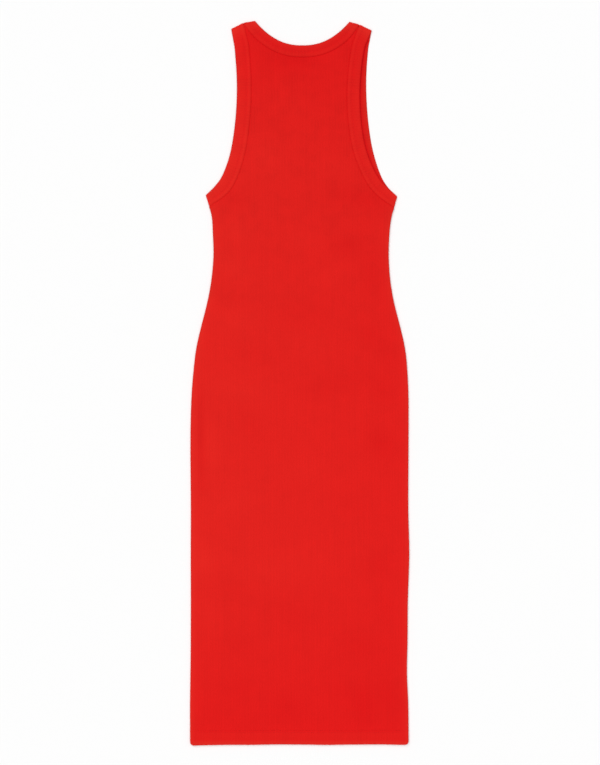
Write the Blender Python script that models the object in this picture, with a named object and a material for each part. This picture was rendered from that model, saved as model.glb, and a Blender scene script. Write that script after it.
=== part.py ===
"""A sleeveless midi bodycon dress in rib knit, laid flat with its back up.

Two panels lie on each other: the front below, face down, and the back above it. A binding runs in one
closed loop round the neck, and one round each armhole. Each loop folds over at the shoulders or under
the arm, from the upper layer to the lower one. The straps are the bindings alone.

X runs across the dress, +Y towards its neck and +Z up. Everything is in metres. Heights on the
garment are measured up from the hem, and widths out from its middle line.
"""

import math
from collections import namedtuple

import bmesh
import bpy
from mathutils import Vector

COLLECTION = "bodycon_dress"

# The cloth, and the levels that its two layers lie at.
CLOTH = 0.0013
SEAM_GAP = 0.0003
FRONT_INSIDE = CLOTH
BACK_INSIDE = FRONT_INSIDE + SEAM_GAP
BACK_OUTSIDE = BACK_INSIDE + CLOTH
FOLD_LEVEL = 0.5 * (FRONT_INSIDE + BACK_INSIDE)
RIM_INSET = 0.0006
RIM_SHARE = 0.55

# The ribs of the knit, which run up the panels and across the bindings.
RIB_PITCH = 0.0048
RIB_HEIGHT = 0.00035
RIB_FOOT = 0.42
RIB_CROWN = 0.20

# The hem, turned up inside both panels.
HEM_DEPTH = 0.0232
HEM_RAMP = 0.0022
HEM_PLY = 0.0005
HEM_CORNER = 0.006
HEM_CORNER_STEPS = 4
HEM_STEPS = 24
HEM_CORNER_DROP = 0.0019
HEM_DROP_WIDTH = 0.045

# The bindings: cloth folded over the raw edge, so they are thicker than the panel, with a low ridge
# between the seam and the row of stitches that holds the cloth turned under it.
BAND_CLOTH = 0.0019
BAND_EDGE_INSET = 0.0008
BAND_UNDER_INSET = 0.0006
BAND_DITCH = 0.0011
BAND_ROUNDING = 0.0002
BAND_STITCHES = 0.0088
BAND_RIDGE = 0.0003
BAND_CROWN_SHARE = 0.35
BAND_EDGE_SHARE = 0.45
BAND_SEAM_SHARE = 0.55
BAND_TURN = 0.030
FOLD_STEPS = 6
FOLD_RADIUS = BACK_INSIDE + BAND_CLOTH - FOLD_LEVEL

# The neck: a power curve either side of its own middle, a little off the dress's middle line.
Neck = namedtuple("Neck", "bottom rise half power middle band")
BACK_NECK = Neck(bottom=1.1594, rise=0.0414, half=0.079, power=2.32, middle=0.0050, band=0.0200)
FRONT_NECK = Neck(bottom=1.1150, rise=0.0853, half=0.079, power=2.40, middle=0.0050, band=0.0200)
NECK_CORNER_SHARPNESS = 4

# Each shoulder's fold: where the neck binding's edge, the seam between bindings and the armhole
# binding's edge reach it.
Shoulder = namedtuple("Shoulder", "neck join arm")
LEFT_SHOULDER = Shoulder(neck=(-0.0724, 1.1986), join=(-0.0926, 1.1951), arm=(-0.1128, 1.1850))
RIGHT_SHOULDER = Shoulder(neck=(0.0818, 1.1972), join=(0.0992, 1.1924), arm=(0.1196, 1.1826))

# The side seams, from the hem up to the armholes.
Side = namedtuple("Side", "name height left right")
SIDES = (
    Side("hem", 0.0000, 0.1811, 0.1811),
    Side("shin", 0.0650, 0.1813, 0.1806),
    Side("low calf", 0.1200, 0.1806, 0.1784),
    Side("calf", 0.1700, 0.1801, 0.1793),
    Side("high calf", 0.2400, 0.1799, 0.1799),
    Side("knee", 0.3150, 0.1801, 0.1822),
    Side("above knee", 0.3900, 0.1799, 0.1806),
    Side("thigh", 0.4890, 0.1806, 0.1809),
    Side("high thigh", 0.5400, 0.1801, 0.1811),
    Side("hip", 0.5890, 0.1781, 0.1806),
    Side("hip bone", 0.6380, 0.1736, 0.1776),
    Side("high hip", 0.6630, 0.1698, 0.1740),
    Side("hip curve", 0.6880, 0.1640, 0.1683),
    Side("below waist", 0.7380, 0.1516, 0.1559),
    Side("low waist", 0.7750, 0.1453, 0.1502),
    Side("waist", 0.8130, 0.1424, 0.1481),
    Side("ribs", 0.8500, 0.1436, 0.1496),
    Side("below the armhole", 0.8750, 0.1452, 0.1529),
    Side("under the arm", 0.8930, 0.1500, 0.1583),
    Side("armhole", 0.9115, 0.1560, 0.1635),
)
SIDE_STEP = 0.007

# The armhole edges, from the shoulder down: distance from the middle line in each layer. The front
# layer shows past the back one on the right only.
Armhole = namedtuple("Armhole", "height back front")
LEFT_ARMHOLE = (
    Armhole(1.1700, 0.1100, 0.1088),
    Armhole(1.1530, 0.1072, 0.1060),
    Armhole(1.1032, 0.1038, 0.1010),
    Armhole(1.0534, 0.1047, 0.1012),
    Armhole(1.0036, 0.1102, 0.1070),
    Armhole(0.9704, 0.1175, 0.1148),
    Armhole(0.9406, 0.1293, 0.1276),
    Armhole(0.9239, 0.1419, 0.1412),
)
RIGHT_ARMHOLE = (
    Armhole(1.1700, 0.1142, 0.1172),
    Armhole(1.1530, 0.1079, 0.1141),
    Armhole(1.1032, 0.1015, 0.1109),
    Armhole(1.0534, 0.1011, 0.1124),
    Armhole(1.0036, 0.1069, 0.1182),
    Armhole(0.9704, 0.1165, 0.1258),
    Armhole(0.9406, 0.1312, 0.1365),
    Armhole(0.9239, 0.1459, 0.1471),
)
LEFT_ARMHOLE_HEIGHT = 0.9132
RIGHT_ARMHOLE_HEIGHT = 0.9096
LEFT_BAND = 0.0243
RIGHT_BAND = 0.0220
BAND_AT_SIDE = 0.0204
CURVE_STEP = 0.0012
DIRECTION_REACH = 0.003

# A binding's fold from the upper layer to the lower one: the ends of the line that it turns about, at the
# binding's edge and at its seam, and where each end's outside goes for every unit of the fold's radius.
Fold = namedtuple("Fold", "edge seam edge_out seam_out")
EDGE_OUT_LIMIT = 1.7

# The panel ends in the strap where the seams either side of it are this far apart.
TIP_WIDTH = 0.0013

# Finishes: colour as linear red, green and blue.
RED = (0.73, 0.0144, 0.013, 1.0)
RED_BINDING = (0.74, 0.0150, 0.0132, 1.0)
KNIT_ROUGHNESS = 0.85


def knit_material(name, colour):
    """A dull knit finish."""
    material = bpy.data.materials.new(name)
    material.use_nodes = True
    shader = material.node_tree.nodes["Principled BSDF"]
    shader.inputs["Base Color"].default_value = colour
    shader.inputs["Roughness"].default_value = KNIT_ROUGHNESS
    shader.inputs["Metallic"].default_value = 0.0
    material.diffuse_color = colour
    return material


def smooth(share):
    """0 to 1, with a level start and end."""
    share = min(1.0, max(0.0, share))
    return share * share * (3.0 - 2.0 * share)


def spline(knots, step):
    """Points every step along a smooth curve through the knots, both ends included."""
    knots = [Vector(knot) for knot in knots]
    fine = []
    for i in range(len(knots) - 1):
        start, end = knots[i], knots[i + 1]
        before = knots[i - 1] if i else start * 2 - end
        after = knots[i + 2] if i + 2 < len(knots) else end * 2 - start
        gap = (end - start).length
        leave = (end - before) * (gap / ((end - start).length + (start - before).length))
        arrive = (after - start) * (gap / ((after - end).length + (end - start).length))
        count = max(2, math.ceil(gap / step))
        for j in range(count):
            t = j / count
            fine.append(
                start * (2 * t**3 - 3 * t**2 + 1)
                + leave * (t**3 - 2 * t**2 + t)
                + end * (3 * t**2 - 2 * t**3)
                + arrive * (t**3 - t**2)
            )
    fine.append(knots[-1])
    return fine


def lengths(points):
    """The distance along the points to each of them."""
    along = [0.0]
    for a, b in zip(points, points[1:]):
        along.append(along[-1] + (b - a).length)
    return along


def at(points, along, distance):
    """The point at a distance along the points."""
    last = len(points) - 2
    i = 0
    while i < last and along[i + 1] < distance:
        i += 1
    share = (distance - along[i]) / (along[i + 1] - along[i])
    return points[i].lerp(points[i + 1], share)


def side_curve(sign):
    """The side seam's points from the hem to the armhole, on the left (-1) or the right (1)."""
    knots = [(sign * (s.left if sign < 0 else s.right), s.height) for s in SIDES]
    return spline(knots, SIDE_STEP)


def point_at_height(points, height):
    """Where a rising line of points passes a height."""
    for a, b in zip(points, points[1:]):
        if a.y <= height <= b.y:
            return a.lerp(b, (height - a.y) / (b.y - a.y))
    return points[-1]


def beyond(start, end, towards):
    """The unit vector across the line from start to end, on the side of a given direction."""
    along = (end - start).normalized()
    across = Vector((-along.y, along.x))
    return across if across.dot(towards) > 0 else -across


def side_line(sign):
    """The side's two points at the armhole binding's edge and seam, and the way out from them."""
    top = LEFT_ARMHOLE_HEIGHT if sign < 0 else RIGHT_ARMHOLE_HEIGHT
    curve = side_curve(sign)
    corner, reach = point_at_height(curve, top), point_at_height(curve, top - BAND_AT_SIDE)
    return corner, reach, beyond(corner, reach, Vector((sign, 0.0)))


def side_fold(sign, drop):
    """A point of the line that an armhole binding folds about, a distance below the armhole's corner."""
    corner, reach, outward = side_line(sign)
    return corner + (reach - corner).normalized() * drop - outward * FOLD_RADIUS


def armhole_edge(sign, layer):
    """The armhole's edge from the shoulder down to the side seam, in the back or front layer."""
    shoulder = LEFT_SHOULDER if sign < 0 else RIGHT_SHOULDER
    rows = LEFT_ARMHOLE if sign < 0 else RIGHT_ARMHOLE
    knots = [shoulder.arm] + [(sign * getattr(row, layer), row.height) for row in rows]
    return spline(knots + [side_fold(sign, 0.0)], CURVE_STEP)


def neck_edge(neck):
    """The neck's edge from the left shoulder to the right one."""
    left, right = LEFT_SHOULDER.neck, RIGHT_SHOULDER.neck
    count = math.ceil((right[0] - left[0]) / CURVE_STEP)
    points = []
    for i in range(count + 1):
        x = left[0] + (right[0] - left[0]) * i / count
        share = abs(x - neck.middle) / neck.half
        points.append(Vector((x, neck.bottom + neck.rise * share**neck.power)))
    for end, corner in ((0, left), (-1, right)):
        lift = corner[1] - points[end].y
        for point in points:
            near = 1.0 - abs(point.x - corner[0]) / neck.half
            point.y += lift * smooth(near) ** NECK_CORNER_SHARPNESS
    return points


class Band:
    """A binding in one layer: its edge, its seam, and how wide it is at each place along the edge."""

    def __init__(self, edge, start_seam, end_seam, width, inward):
        self.edge = edge
        self.along = lengths(edge)
        self.length = self.along[-1]
        self.ribs = round(self.length / RIB_PITCH)
        self.ends = (Vector(start_seam), Vector(end_seam))
        self.width = width
        self.inward = inward

    def station(self, distance):
        """The edge's point and the seam's point that lies across the band from it."""
        edge = at(self.edge, self.along, distance)
        behind = at(self.edge, self.along, max(0.0, distance - DIRECTION_REACH))
        ahead = at(self.edge, self.along, min(self.length, distance + DIRECTION_REACH)) - behind
        across = Vector((-ahead.y, ahead.x)).normalized() * self.inward
        width = self.width
        for place, seam in ((0.0, self.ends[0]), (self.length, self.ends[1])):
            corner = self.edge[0] if place == 0.0 else self.edge[-1]
            near = 1.0 - smooth(abs(distance - place) / BAND_TURN)
            reach = seam - corner
            across = across.lerp(reach.normalized(), near)
            width += (reach.length - self.width) * near
        return edge, edge + across.normalized() * width

    def stations(self, steps):
        """The edge's and the seam's points across each rib, with that many steps to a rib."""
        count = self.ribs * steps
        return [self.station(self.length * i / count) for i in range(count + 1)]


def neck_band(neck):
    """The neck binding in one layer, from the left shoulder to the right one."""
    return Band(neck_edge(neck), beside(LEFT_SHOULDER, "neck"), beside(RIGHT_SHOULDER, "neck"), neck.band, -1)


def beside(shoulder, edge):
    """The join in a shoulder's fold, drawn back half a seam gap towards one binding's edge."""
    join, corner = Vector(shoulder.join), Vector(getattr(shoulder, edge))
    return join + (corner - join).normalized() * 0.5 * SEAM_GAP


def armhole_band(sign, layer):
    """An armhole binding in one layer, from the shoulder down to the side."""
    shoulder = LEFT_SHOULDER if sign < 0 else RIGHT_SHOULDER
    width = LEFT_BAND if sign < 0 else RIGHT_BAND
    end = side_fold(sign, BAND_AT_SIDE)
    return Band(armhole_edge(sign, layer), beside(shoulder, "arm"), end, width, -sign)


def edge_way(edges, outward):
    """Where two layers' edges lead past the fold that joins them, for each unit that they go outward."""
    ways = [(line[end] - line[beside_end]).normalized() for line, end, beside_end in edges]
    way = (ways[0] + ways[1]).normalized()
    return way / max(way.dot(outward), 1.0 / EDGE_OUT_LIMIT)


def shoulder_out(shoulder):
    """The ways out from a shoulder's two folds, and the one that both share at the join."""
    neck, join, arm = (Vector(place) for place in shoulder)
    up = Vector((0.0, 1.0))
    at_neck, at_arm = beyond(neck, join, up), beyond(join, arm, up)
    return at_neck, at_arm, (at_neck + at_arm) / (1.0 + at_neck.dot(at_arm))


def neck_folds(back, front):
    """The neck binding's folds, at the left shoulder and the right one."""
    folds = []
    for shoulder, end, beside_end in ((LEFT_SHOULDER, 0, 1), (RIGHT_SHOULDER, -1, -2)):
        outward, _, shared = shoulder_out(shoulder)
        way = edge_way([(band.edge, end, beside_end) for band in (back, front)], outward)
        folds.append(Fold(back.edge[end], back.ends[end], way, shared))
    return folds


def armhole_folds(sign, back, front):
    """An armhole binding's folds, at the shoulder and under the arm."""
    _, at_arm, shared = shoulder_out(LEFT_SHOULDER if sign < 0 else RIGHT_SHOULDER)
    at_side = side_line(sign)[2]
    folds = []
    for outward, seam_out, end, beside_end in ((at_arm, shared, 0, 1), (at_side, at_side, -1, -2)):
        way = edge_way([(band.edge, end, beside_end) for band in (back, front)], outward)
        folds.append(Fold(back.edge[end], back.ends[end], way, seam_out))
    return folds


def section(fold, turn, swell):
    """One cross-section of a binding, as points in space.

    turn is 1 in the upper layer and -1 in the lower one, and passes through 0 round the fold between
    them. swell is how far a rib raises the face.
    """
    angle = turn * math.pi / 2
    upper = 0.5 * (1.0 + turn)
    inner = 0.5 * SEAM_GAP
    outer = inner + CLOTH + (BAND_CLOTH - CLOTH) * upper
    crown = outer + swell
    shoulder = crown - BAND_ROUNDING * upper
    across = fold.seam - fold.edge
    reach = across.length
    profile = (
        (reach, inner),
        (BAND_UNDER_INSET, inner),
        (0.0, inner + (outer - inner) * BAND_EDGE_SHARE),
        (BAND_EDGE_INSET, shoulder),
        (reach * BAND_CROWN_SHARE, crown),
        (reach - BAND_STITCHES, shoulder),
        (reach - 0.5 * BAND_STITCHES, crown + BAND_RIDGE * upper),
        (reach - BAND_DITCH, shoulder),
        (reach, inner + (outer - inner) * BAND_SEAM_SHARE),
    )
    points = []
    for distance, radius in profile:
        share = distance / reach
        out = fold.edge_out.lerp(fold.seam_out, share) * radius * math.cos(angle)
        flat = fold.edge + across * share + out
        points.append((flat.x, flat.y, FOLD_LEVEL + radius * math.sin(angle)))
    return points


def layer_sections(band, turn, ribbed, forward):
    """The sections of a binding along one layer, in the order that the loop takes them."""
    level = Vector((0.0, 0.0))
    found = []
    for i, (edge, seam) in enumerate(band.stations(2 if ribbed else 1)):
        swell = RIB_HEIGHT * (i % 2) if ribbed else 0.0
        found.append(section(Fold(edge, seam, level, level), turn, swell))
    return found if forward else found[::-1]


def fold_sections(fold, down):
    """The sections round the fold between the layers, from the upper one down or back up."""
    turns = [1.0 - 2.0 * i / FOLD_STEPS for i in range(1, FOLD_STEPS)]
    found = [section(fold, turn, 0.0) for turn in turns]
    return found if down else found[::-1]


def loop_mesh(name, sections):
    """A closed loop of wall through the sections."""
    mesh = bpy.data.meshes.new(name)
    corners = len(sections[0])
    points = [point for ring in sections for point in ring]
    faces = []
    for i in range(len(sections)):
        j = (i + 1) % len(sections)
        for k in range(corners):
            m = (k + 1) % corners
            faces.append((i * corners + k, i * corners + m, j * corners + m, j * corners + k))
    mesh.from_pydata(points, [], faces)
    return mesh


def binding(name, back, front, folds, material):
    """One binding: along the back layer, over a fold, back along the front layer and over the other."""
    sections = layer_sections(back, 1, True, True)
    sections += fold_sections(folds[1], True)
    sections += layer_sections(front, -1, False, False)
    sections += fold_sections(folds[0], False)
    return dressed(name, loop_mesh(name, sections), material)


def dressed(name, mesh, material):
    """An object of that mesh with its faces outwards, in the dress's collection."""
    work = bmesh.new()
    work.from_mesh(mesh)
    bmesh.ops.recalc_face_normals(work, faces=work.faces)
    if work.calc_volume(signed=True) < 0:
        bmesh.ops.reverse_faces(work, faces=work.faces)
    work.to_mesh(mesh)
    work.free()
    mesh.materials.append(material)
    result = bpy.data.objects.new(name, mesh)
    bpy.data.collections[COLLECTION].objects.link(result)
    return result


def hem_height(x):
    """The hem's own line: straight, with its left corner hanging a little lower."""
    from_corner = (x + SIDES[0].left) / HEM_DROP_WIDTH
    return -HEM_CORNER_DROP * math.exp(-from_corner * from_corner)


def rib_lines(low, high):
    """The places across the cloth, between low and high, where a rib bends it."""
    ribs = range(math.floor(low / RIB_PITCH), math.ceil(high / RIB_PITCH) + 1)
    bends = (-RIB_FOOT, -RIB_CROWN, RIB_CROWN, RIB_FOOT)
    lines = [(rib + bend) * RIB_PITCH for rib in ribs for bend in bends]
    return [line for line in lines if low < line < high]


def rib_share(x):
    """How far up a rib's flank a place across the cloth is, from 0 in the groove to 1 on the crown."""
    from_rib = abs(x / RIB_PITCH - round(x / RIB_PITCH))
    return min(1.0, max(0.0, (RIB_FOOT - from_rib) / (RIB_FOOT - RIB_CROWN)))


def hem_share(height):
    """1 where the hem is turned up, falling to 0 just above it."""
    return min(1.0, max(0.0, (HEM_DEPTH + HEM_RAMP - height) / HEM_RAMP))


def seam_line(band, side):
    """The panel's own edge along a binding: the seam's points, drawn in by the seam gap."""
    points = [seam for _, seam in band.stations(1)]
    drawn = []
    for i, point in enumerate(points):
        ahead = points[min(i + 1, len(points) - 1)] - points[max(i - 1, 0)]
        drawn.append(point + Vector((-ahead.y, ahead.x)).normalized() * SEAM_GAP * side)
    return drawn


def trimmed(arm, neck):
    """An armhole's and the neck's panel edges, cut off in the strap where they come close together."""
    i = 0
    while (arm[i + 1] - neck[i + 1]).length < TIP_WIDTH:
        i += 1
    near, far = (arm[i] - neck[i]).length, (arm[i + 1] - neck[i + 1]).length
    share = (TIP_WIDTH - near) / (far - near)
    tips = [line[i].lerp(line[i + 1], share) for line in (arm, neck)]
    return [tips[0]] + arm[i + 1 :], [tips[1]] + neck[i + 1 :]


def panel_outline(layer, neck):
    """A panel's outline, round from the hem's left corner against the clock."""
    necks = seam_line(neck_band(neck), -1)
    half = len(necks) // 2
    parts = {}
    for sign, neck_half in ((-1, necks[:half]), (1, necks[half:][::-1])):
        arm, near = trimmed(seam_line(armhole_band(sign, layer), -sign), neck_half)
        join = side_fold(sign, BAND_AT_SIDE + SEAM_GAP)
        corner = join + side_line(sign)[2] * FOLD_RADIUS
        side = [point for point in side_curve(sign) if HEM_CORNER < point.y < corner.y - 0.5 * SIDE_STEP]
        parts[sign] = (side + [corner], arm[:-1] + [join], near)
    hem = hem_points()
    left_side, left_arm, left_neck = parts[-1]
    right_side, right_arm, right_neck = parts[1]
    return hem + right_side + right_arm[::-1] + right_neck + left_neck[::-1] + left_arm + left_side[::-1]


def hem_corner(middle, start):
    """A rounded corner of the hem about its own middle, as a quarter turn from the start angle."""
    points = []
    for i in range(HEM_CORNER_STEPS + 1):
        angle = start + 0.5 * math.pi * i / HEM_CORNER_STEPS
        x = middle + HEM_CORNER * math.cos(angle)
        points.append(Vector((x, HEM_CORNER + HEM_CORNER * math.sin(angle) + hem_height(x))))
    return points


def hem_points():
    """The hem from its left corner to its right one, both rounded."""
    left, right = HEM_CORNER - SIDES[0].left, SIDES[0].right - HEM_CORNER
    places = [left + (right - left) * i / HEM_STEPS for i in range(1, HEM_STEPS)]
    run = [Vector((x, hem_height(x))) for x in places]
    return hem_corner(left, math.pi) + run + hem_corner(right, 1.5 * math.pi)


def cut(work, place, direction):
    """Cuts every face of the mesh that a plane crosses."""
    geometry = work.verts[:] + work.edges[:] + work.faces[:]
    bmesh.ops.bisect_plane(work, geom=geometry, dist=1e-7, plane_co=place, plane_no=direction)


def panel_mesh(name, outline, ribbed):
    """A panel as a slab whose heights are levels: 0 inside, 1 round its rim and 2 on its face."""
    work = bmesh.new()
    rim = [work.verts.new((point.x, point.y, 1.0)) for point in outline]
    face = work.faces.new(rim)
    bmesh.ops.inset_individual(work, faces=[face], thickness=RIM_INSET, depth=0.0, use_even_offset=True)
    for vert in work.verts:
        if not vert.is_boundary:
            vert.co.z = 2.0
    if ribbed:
        for x in rib_lines(-max(s.left for s in SIDES), max(s.right for s in SIDES)):
            cut(work, (x, 0.0, 0.0), (1.0, 0.0, 0.0))
    boundary = [edge for edge in work.edges if edge.is_boundary]
    grown = bmesh.ops.extrude_edge_only(work, edges=boundary)
    fresh = [part for part in grown["geom"] if isinstance(part, bmesh.types.BMVert)]
    for vert in fresh:
        vert.co.z = 0.0
    floor_edges = [edge for edge in work.edges if edge.is_boundary]
    bmesh.ops.holes_fill(work, edges=floor_edges, sides=0)
    for height in (HEM_DEPTH, HEM_DEPTH + HEM_RAMP):
        cut(work, (0.0, height, 0.0), (0.0, 1.0, 0.0))
    mesh = bpy.data.meshes.new(name)
    work.to_mesh(mesh)
    work.free()
    return mesh


def between(level, heights):
    """The height at a level between the three heights of levels 0, 1 and 2."""
    inside, rim, face = heights
    return inside + (rim - inside) * level if level <= 1.0 else rim + (face - rim) * (level - 1.0)


def back_heights(x, height):
    """The back panel's heights inside, at its rim and on its ribbed face."""
    ply = HEM_PLY * hem_share(height)
    inside = BACK_INSIDE + ply
    face = BACK_OUTSIDE + 2.0 * ply + RIB_HEIGHT * rib_share(x)
    return inside, inside + RIM_SHARE * CLOTH, face


def front_heights(_, height):
    """The front panel's heights inside, at its rim and on its face, which rests flat."""
    return FRONT_INSIDE + HEM_PLY * hem_share(height), (1.0 - RIM_SHARE) * CLOTH, 0.0


def panel(name, layer, neck, heights, ribbed, material):
    """One panel of the dress, with its rim rounded and its hem turned up inside."""
    mesh = panel_mesh(name, panel_outline(layer, neck), ribbed)
    for vert in mesh.vertices:
        vert.co.z = between(vert.co.z, heights(vert.co.x, vert.co.y))
    return dressed(name, mesh, material)


def centre(objects):
    """Moves the dress so that the middle of its underside is at the origin."""
    corners = [vert.co for item in objects for vert in item.data.vertices]
    middle = Vector(((min(c.x for c in corners) + max(c.x for c in corners)) / 2,
                     (min(c.y for c in corners) + max(c.y for c in corners)) / 2,
                     min(c.z for c in corners)))
    for item in objects:
        for vert in item.data.vertices:
            vert.co -= middle


def main():
    for item in list(bpy.data.objects):
        bpy.data.objects.remove(item, do_unlink=True)
    collection = bpy.data.collections.new(COLLECTION)
    bpy.context.scene.collection.children.link(collection)
    knit = knit_material("rib_knit", RED)
    tape = knit_material("rib_binding", RED_BINDING)
    pieces = [
        panel("front_panel", "front", FRONT_NECK, front_heights, False, knit),
        panel("back_panel", "back", BACK_NECK, back_heights, True, knit),
    ]
    bands = neck_band(BACK_NECK), neck_band(FRONT_NECK)
    pieces.append(binding("neck_binding", *bands, neck_folds(*bands), tape))
    for side, sign in (("left", -1), ("right", 1)):
        bands = armhole_band(sign, "back"), armhole_band(sign, "front")
        pieces.append(binding("armhole_binding_" + side, *bands, armhole_folds(sign, *bands), tape))
    centre(pieces)


main()
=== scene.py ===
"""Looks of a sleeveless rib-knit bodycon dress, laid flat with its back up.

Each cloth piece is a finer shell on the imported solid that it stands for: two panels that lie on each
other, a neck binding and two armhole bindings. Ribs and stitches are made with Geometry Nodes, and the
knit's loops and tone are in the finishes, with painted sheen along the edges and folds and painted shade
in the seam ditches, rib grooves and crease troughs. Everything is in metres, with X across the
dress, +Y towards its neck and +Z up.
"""

import logging
import math
from dataclasses import dataclass, field, fields
from enum import Enum

import bmesh
import bpy
import numpy as np
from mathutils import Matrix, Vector
from mathutils.kdtree import KDTree

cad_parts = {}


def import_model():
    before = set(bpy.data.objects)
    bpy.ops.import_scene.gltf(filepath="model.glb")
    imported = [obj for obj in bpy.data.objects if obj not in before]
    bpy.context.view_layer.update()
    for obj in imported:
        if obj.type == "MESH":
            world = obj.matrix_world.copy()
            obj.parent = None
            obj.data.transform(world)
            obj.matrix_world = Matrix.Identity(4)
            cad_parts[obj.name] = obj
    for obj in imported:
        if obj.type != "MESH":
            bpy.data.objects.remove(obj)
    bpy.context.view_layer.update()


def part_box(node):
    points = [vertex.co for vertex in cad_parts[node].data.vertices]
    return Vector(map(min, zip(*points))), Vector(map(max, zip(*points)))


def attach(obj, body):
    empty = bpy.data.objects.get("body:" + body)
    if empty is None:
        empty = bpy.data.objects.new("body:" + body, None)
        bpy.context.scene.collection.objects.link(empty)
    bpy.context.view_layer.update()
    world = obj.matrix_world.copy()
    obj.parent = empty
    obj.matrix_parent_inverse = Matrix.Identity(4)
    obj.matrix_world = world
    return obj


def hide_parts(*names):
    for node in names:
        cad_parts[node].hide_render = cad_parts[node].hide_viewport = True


LOG = logging.getLogger("bodycon_dress")

BODY = "root"
UV_NAME = "cloth"
PLACE = "rib_place"
LIFT = "rib_lift"
# Painted sheen: how much lighter and more pale the cloth is painted along edges, folds, the hem and rims.
EDGE_SHEEN = "painted_edge_sheen"
# Painted shade in seam ditches, crease troughs and under the upper layer's edges, in a deeper red; below 0,
# a painted highlight on ridges.
DITCH_SHADE = "ditch_shade"
# Painted shade, taking light off the cloth evenly; below 0, painted light.
SHADE = "shade"

# Short names for kinds of value that come up often.
Pair = tuple[float, float]
Edges = list[tuple[int, int]]
Point = tuple[float, float, float]
Colour = tuple[float, float, float]
Ways = tuple[np.ndarray, np.ndarray]


class Layer(Enum):
    """Which of the dress's two layers a piece is in."""

    BACK = "back"
    FRONT = "front"


class Hand(Enum):
    """Which side of the dress a piece is on, as seen from above."""

    LEFT = -1
    RIGHT = 1


# ---------------------------------------------------------------------------------------------------
# Sizes of the cloth and its cut
# ---------------------------------------------------------------------------------------------------


@dataclass(frozen=True)
class Cloth:
    """The knit's thickness, its ribs, and the heights that its two layers lie at."""

    thickness: float = 0.0013
    gap: float = 0.0003
    pitch: float = 0.0048
    rib_height: float = 0.00022
    rest_height: float = 0.00028
    crown: float = 0.10
    foot: float = 0.45

    @property
    def front_inside(self) -> float:
        """Height of the lower layer's inside."""
        return self.thickness

    @property
    def back_inside(self) -> float:
        """Height of the upper layer's inside."""
        return self.thickness + self.gap

    @property
    def fold_level(self) -> float:
        """Height of the line that the bindings fold about."""
        return self.thickness + 0.5 * self.gap


@dataclass(frozen=True)
class NeckLine:
    """A neck edge: a power curve about its own middle, and its binding's width."""

    bottom: float
    rise: float
    power: float
    half: float = 0.079
    middle: float = 0.0050
    band: float = 0.0200
    corner_sharpness: int = 4


@dataclass(frozen=True)
class Shoulder:
    """Where the neck edge, the seam between bindings and the armhole edge meet a shoulder's fold."""

    neck: Pair
    join: Pair
    arm: Pair


@dataclass(frozen=True)
class SideRow:
    """The side seams' distances from the middle line at one height above the hem."""

    height: float
    left: float
    right: float


@dataclass(frozen=True)
class ArmholeRow:
    """An armhole edge's distances from the middle line at one height, in each layer."""

    height: float
    back: float
    front: float


@dataclass(frozen=True)
class Crease:
    """A soft ridge in the laid cloth, or a trough where its height is below 0."""

    start: Pair
    end: Pair
    width: float
    height: float


NECKS = {
    Layer.BACK: NeckLine(bottom=1.1594, rise=0.0414, power=2.32),
    Layer.FRONT: NeckLine(bottom=1.1150, rise=0.0853, power=2.40),
}
SHOULDERS = {
    Hand.LEFT: Shoulder((-0.0724, 1.1986), (-0.0926, 1.1951), (-0.1128, 1.1850)),
    Hand.RIGHT: Shoulder((0.0818, 1.1972), (0.0992, 1.1924), (0.1196, 1.1826)),
}
SIDES = (
    SideRow(0.0000, 0.1811, 0.1811),
    SideRow(0.0650, 0.1813, 0.1806),
    SideRow(0.1200, 0.1806, 0.1784),
    SideRow(0.1700, 0.1801, 0.1793),
    SideRow(0.2400, 0.1799, 0.1799),
    SideRow(0.3150, 0.1801, 0.1822),
    SideRow(0.3900, 0.1799, 0.1806),
    SideRow(0.4890, 0.1806, 0.1809),
    SideRow(0.5400, 0.1801, 0.1811),
    SideRow(0.5890, 0.1781, 0.1806),
    SideRow(0.6380, 0.1736, 0.1776),
    SideRow(0.6630, 0.1698, 0.1740),
    SideRow(0.6880, 0.1640, 0.1683),
    SideRow(0.7380, 0.1516, 0.1559),
    SideRow(0.7750, 0.1453, 0.1502),
    SideRow(0.8130, 0.1424, 0.1481),
    SideRow(0.8500, 0.1436, 0.1496),
    SideRow(0.8750, 0.1452, 0.1529),
    SideRow(0.8930, 0.1500, 0.1583),
    SideRow(0.9115, 0.1560, 0.1635),
)
ARMHOLES = {
    Hand.LEFT: (
        ArmholeRow(1.1700, 0.1100, 0.1088),
        ArmholeRow(1.1530, 0.1072, 0.1060),
        ArmholeRow(1.1032, 0.1038, 0.1010),
        ArmholeRow(1.0534, 0.1047, 0.1012),
        ArmholeRow(1.0036, 0.1102, 0.1070),
        ArmholeRow(0.9704, 0.1175, 0.1148),
        ArmholeRow(0.9406, 0.1293, 0.1276),
        ArmholeRow(0.9239, 0.1419, 0.1412),
    ),
    Hand.RIGHT: (
        ArmholeRow(1.1700, 0.1142, 0.1172),
        ArmholeRow(1.1530, 0.1079, 0.1141),
        ArmholeRow(1.1032, 0.1015, 0.1109),
        ArmholeRow(1.0534, 0.1011, 0.1124),
        ArmholeRow(1.0036, 0.1069, 0.1182),
        ArmholeRow(0.9704, 0.1165, 0.1258),
        ArmholeRow(0.9406, 0.1312, 0.1365),
        ArmholeRow(0.9239, 0.1459, 0.1471),
    ),
}
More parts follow.
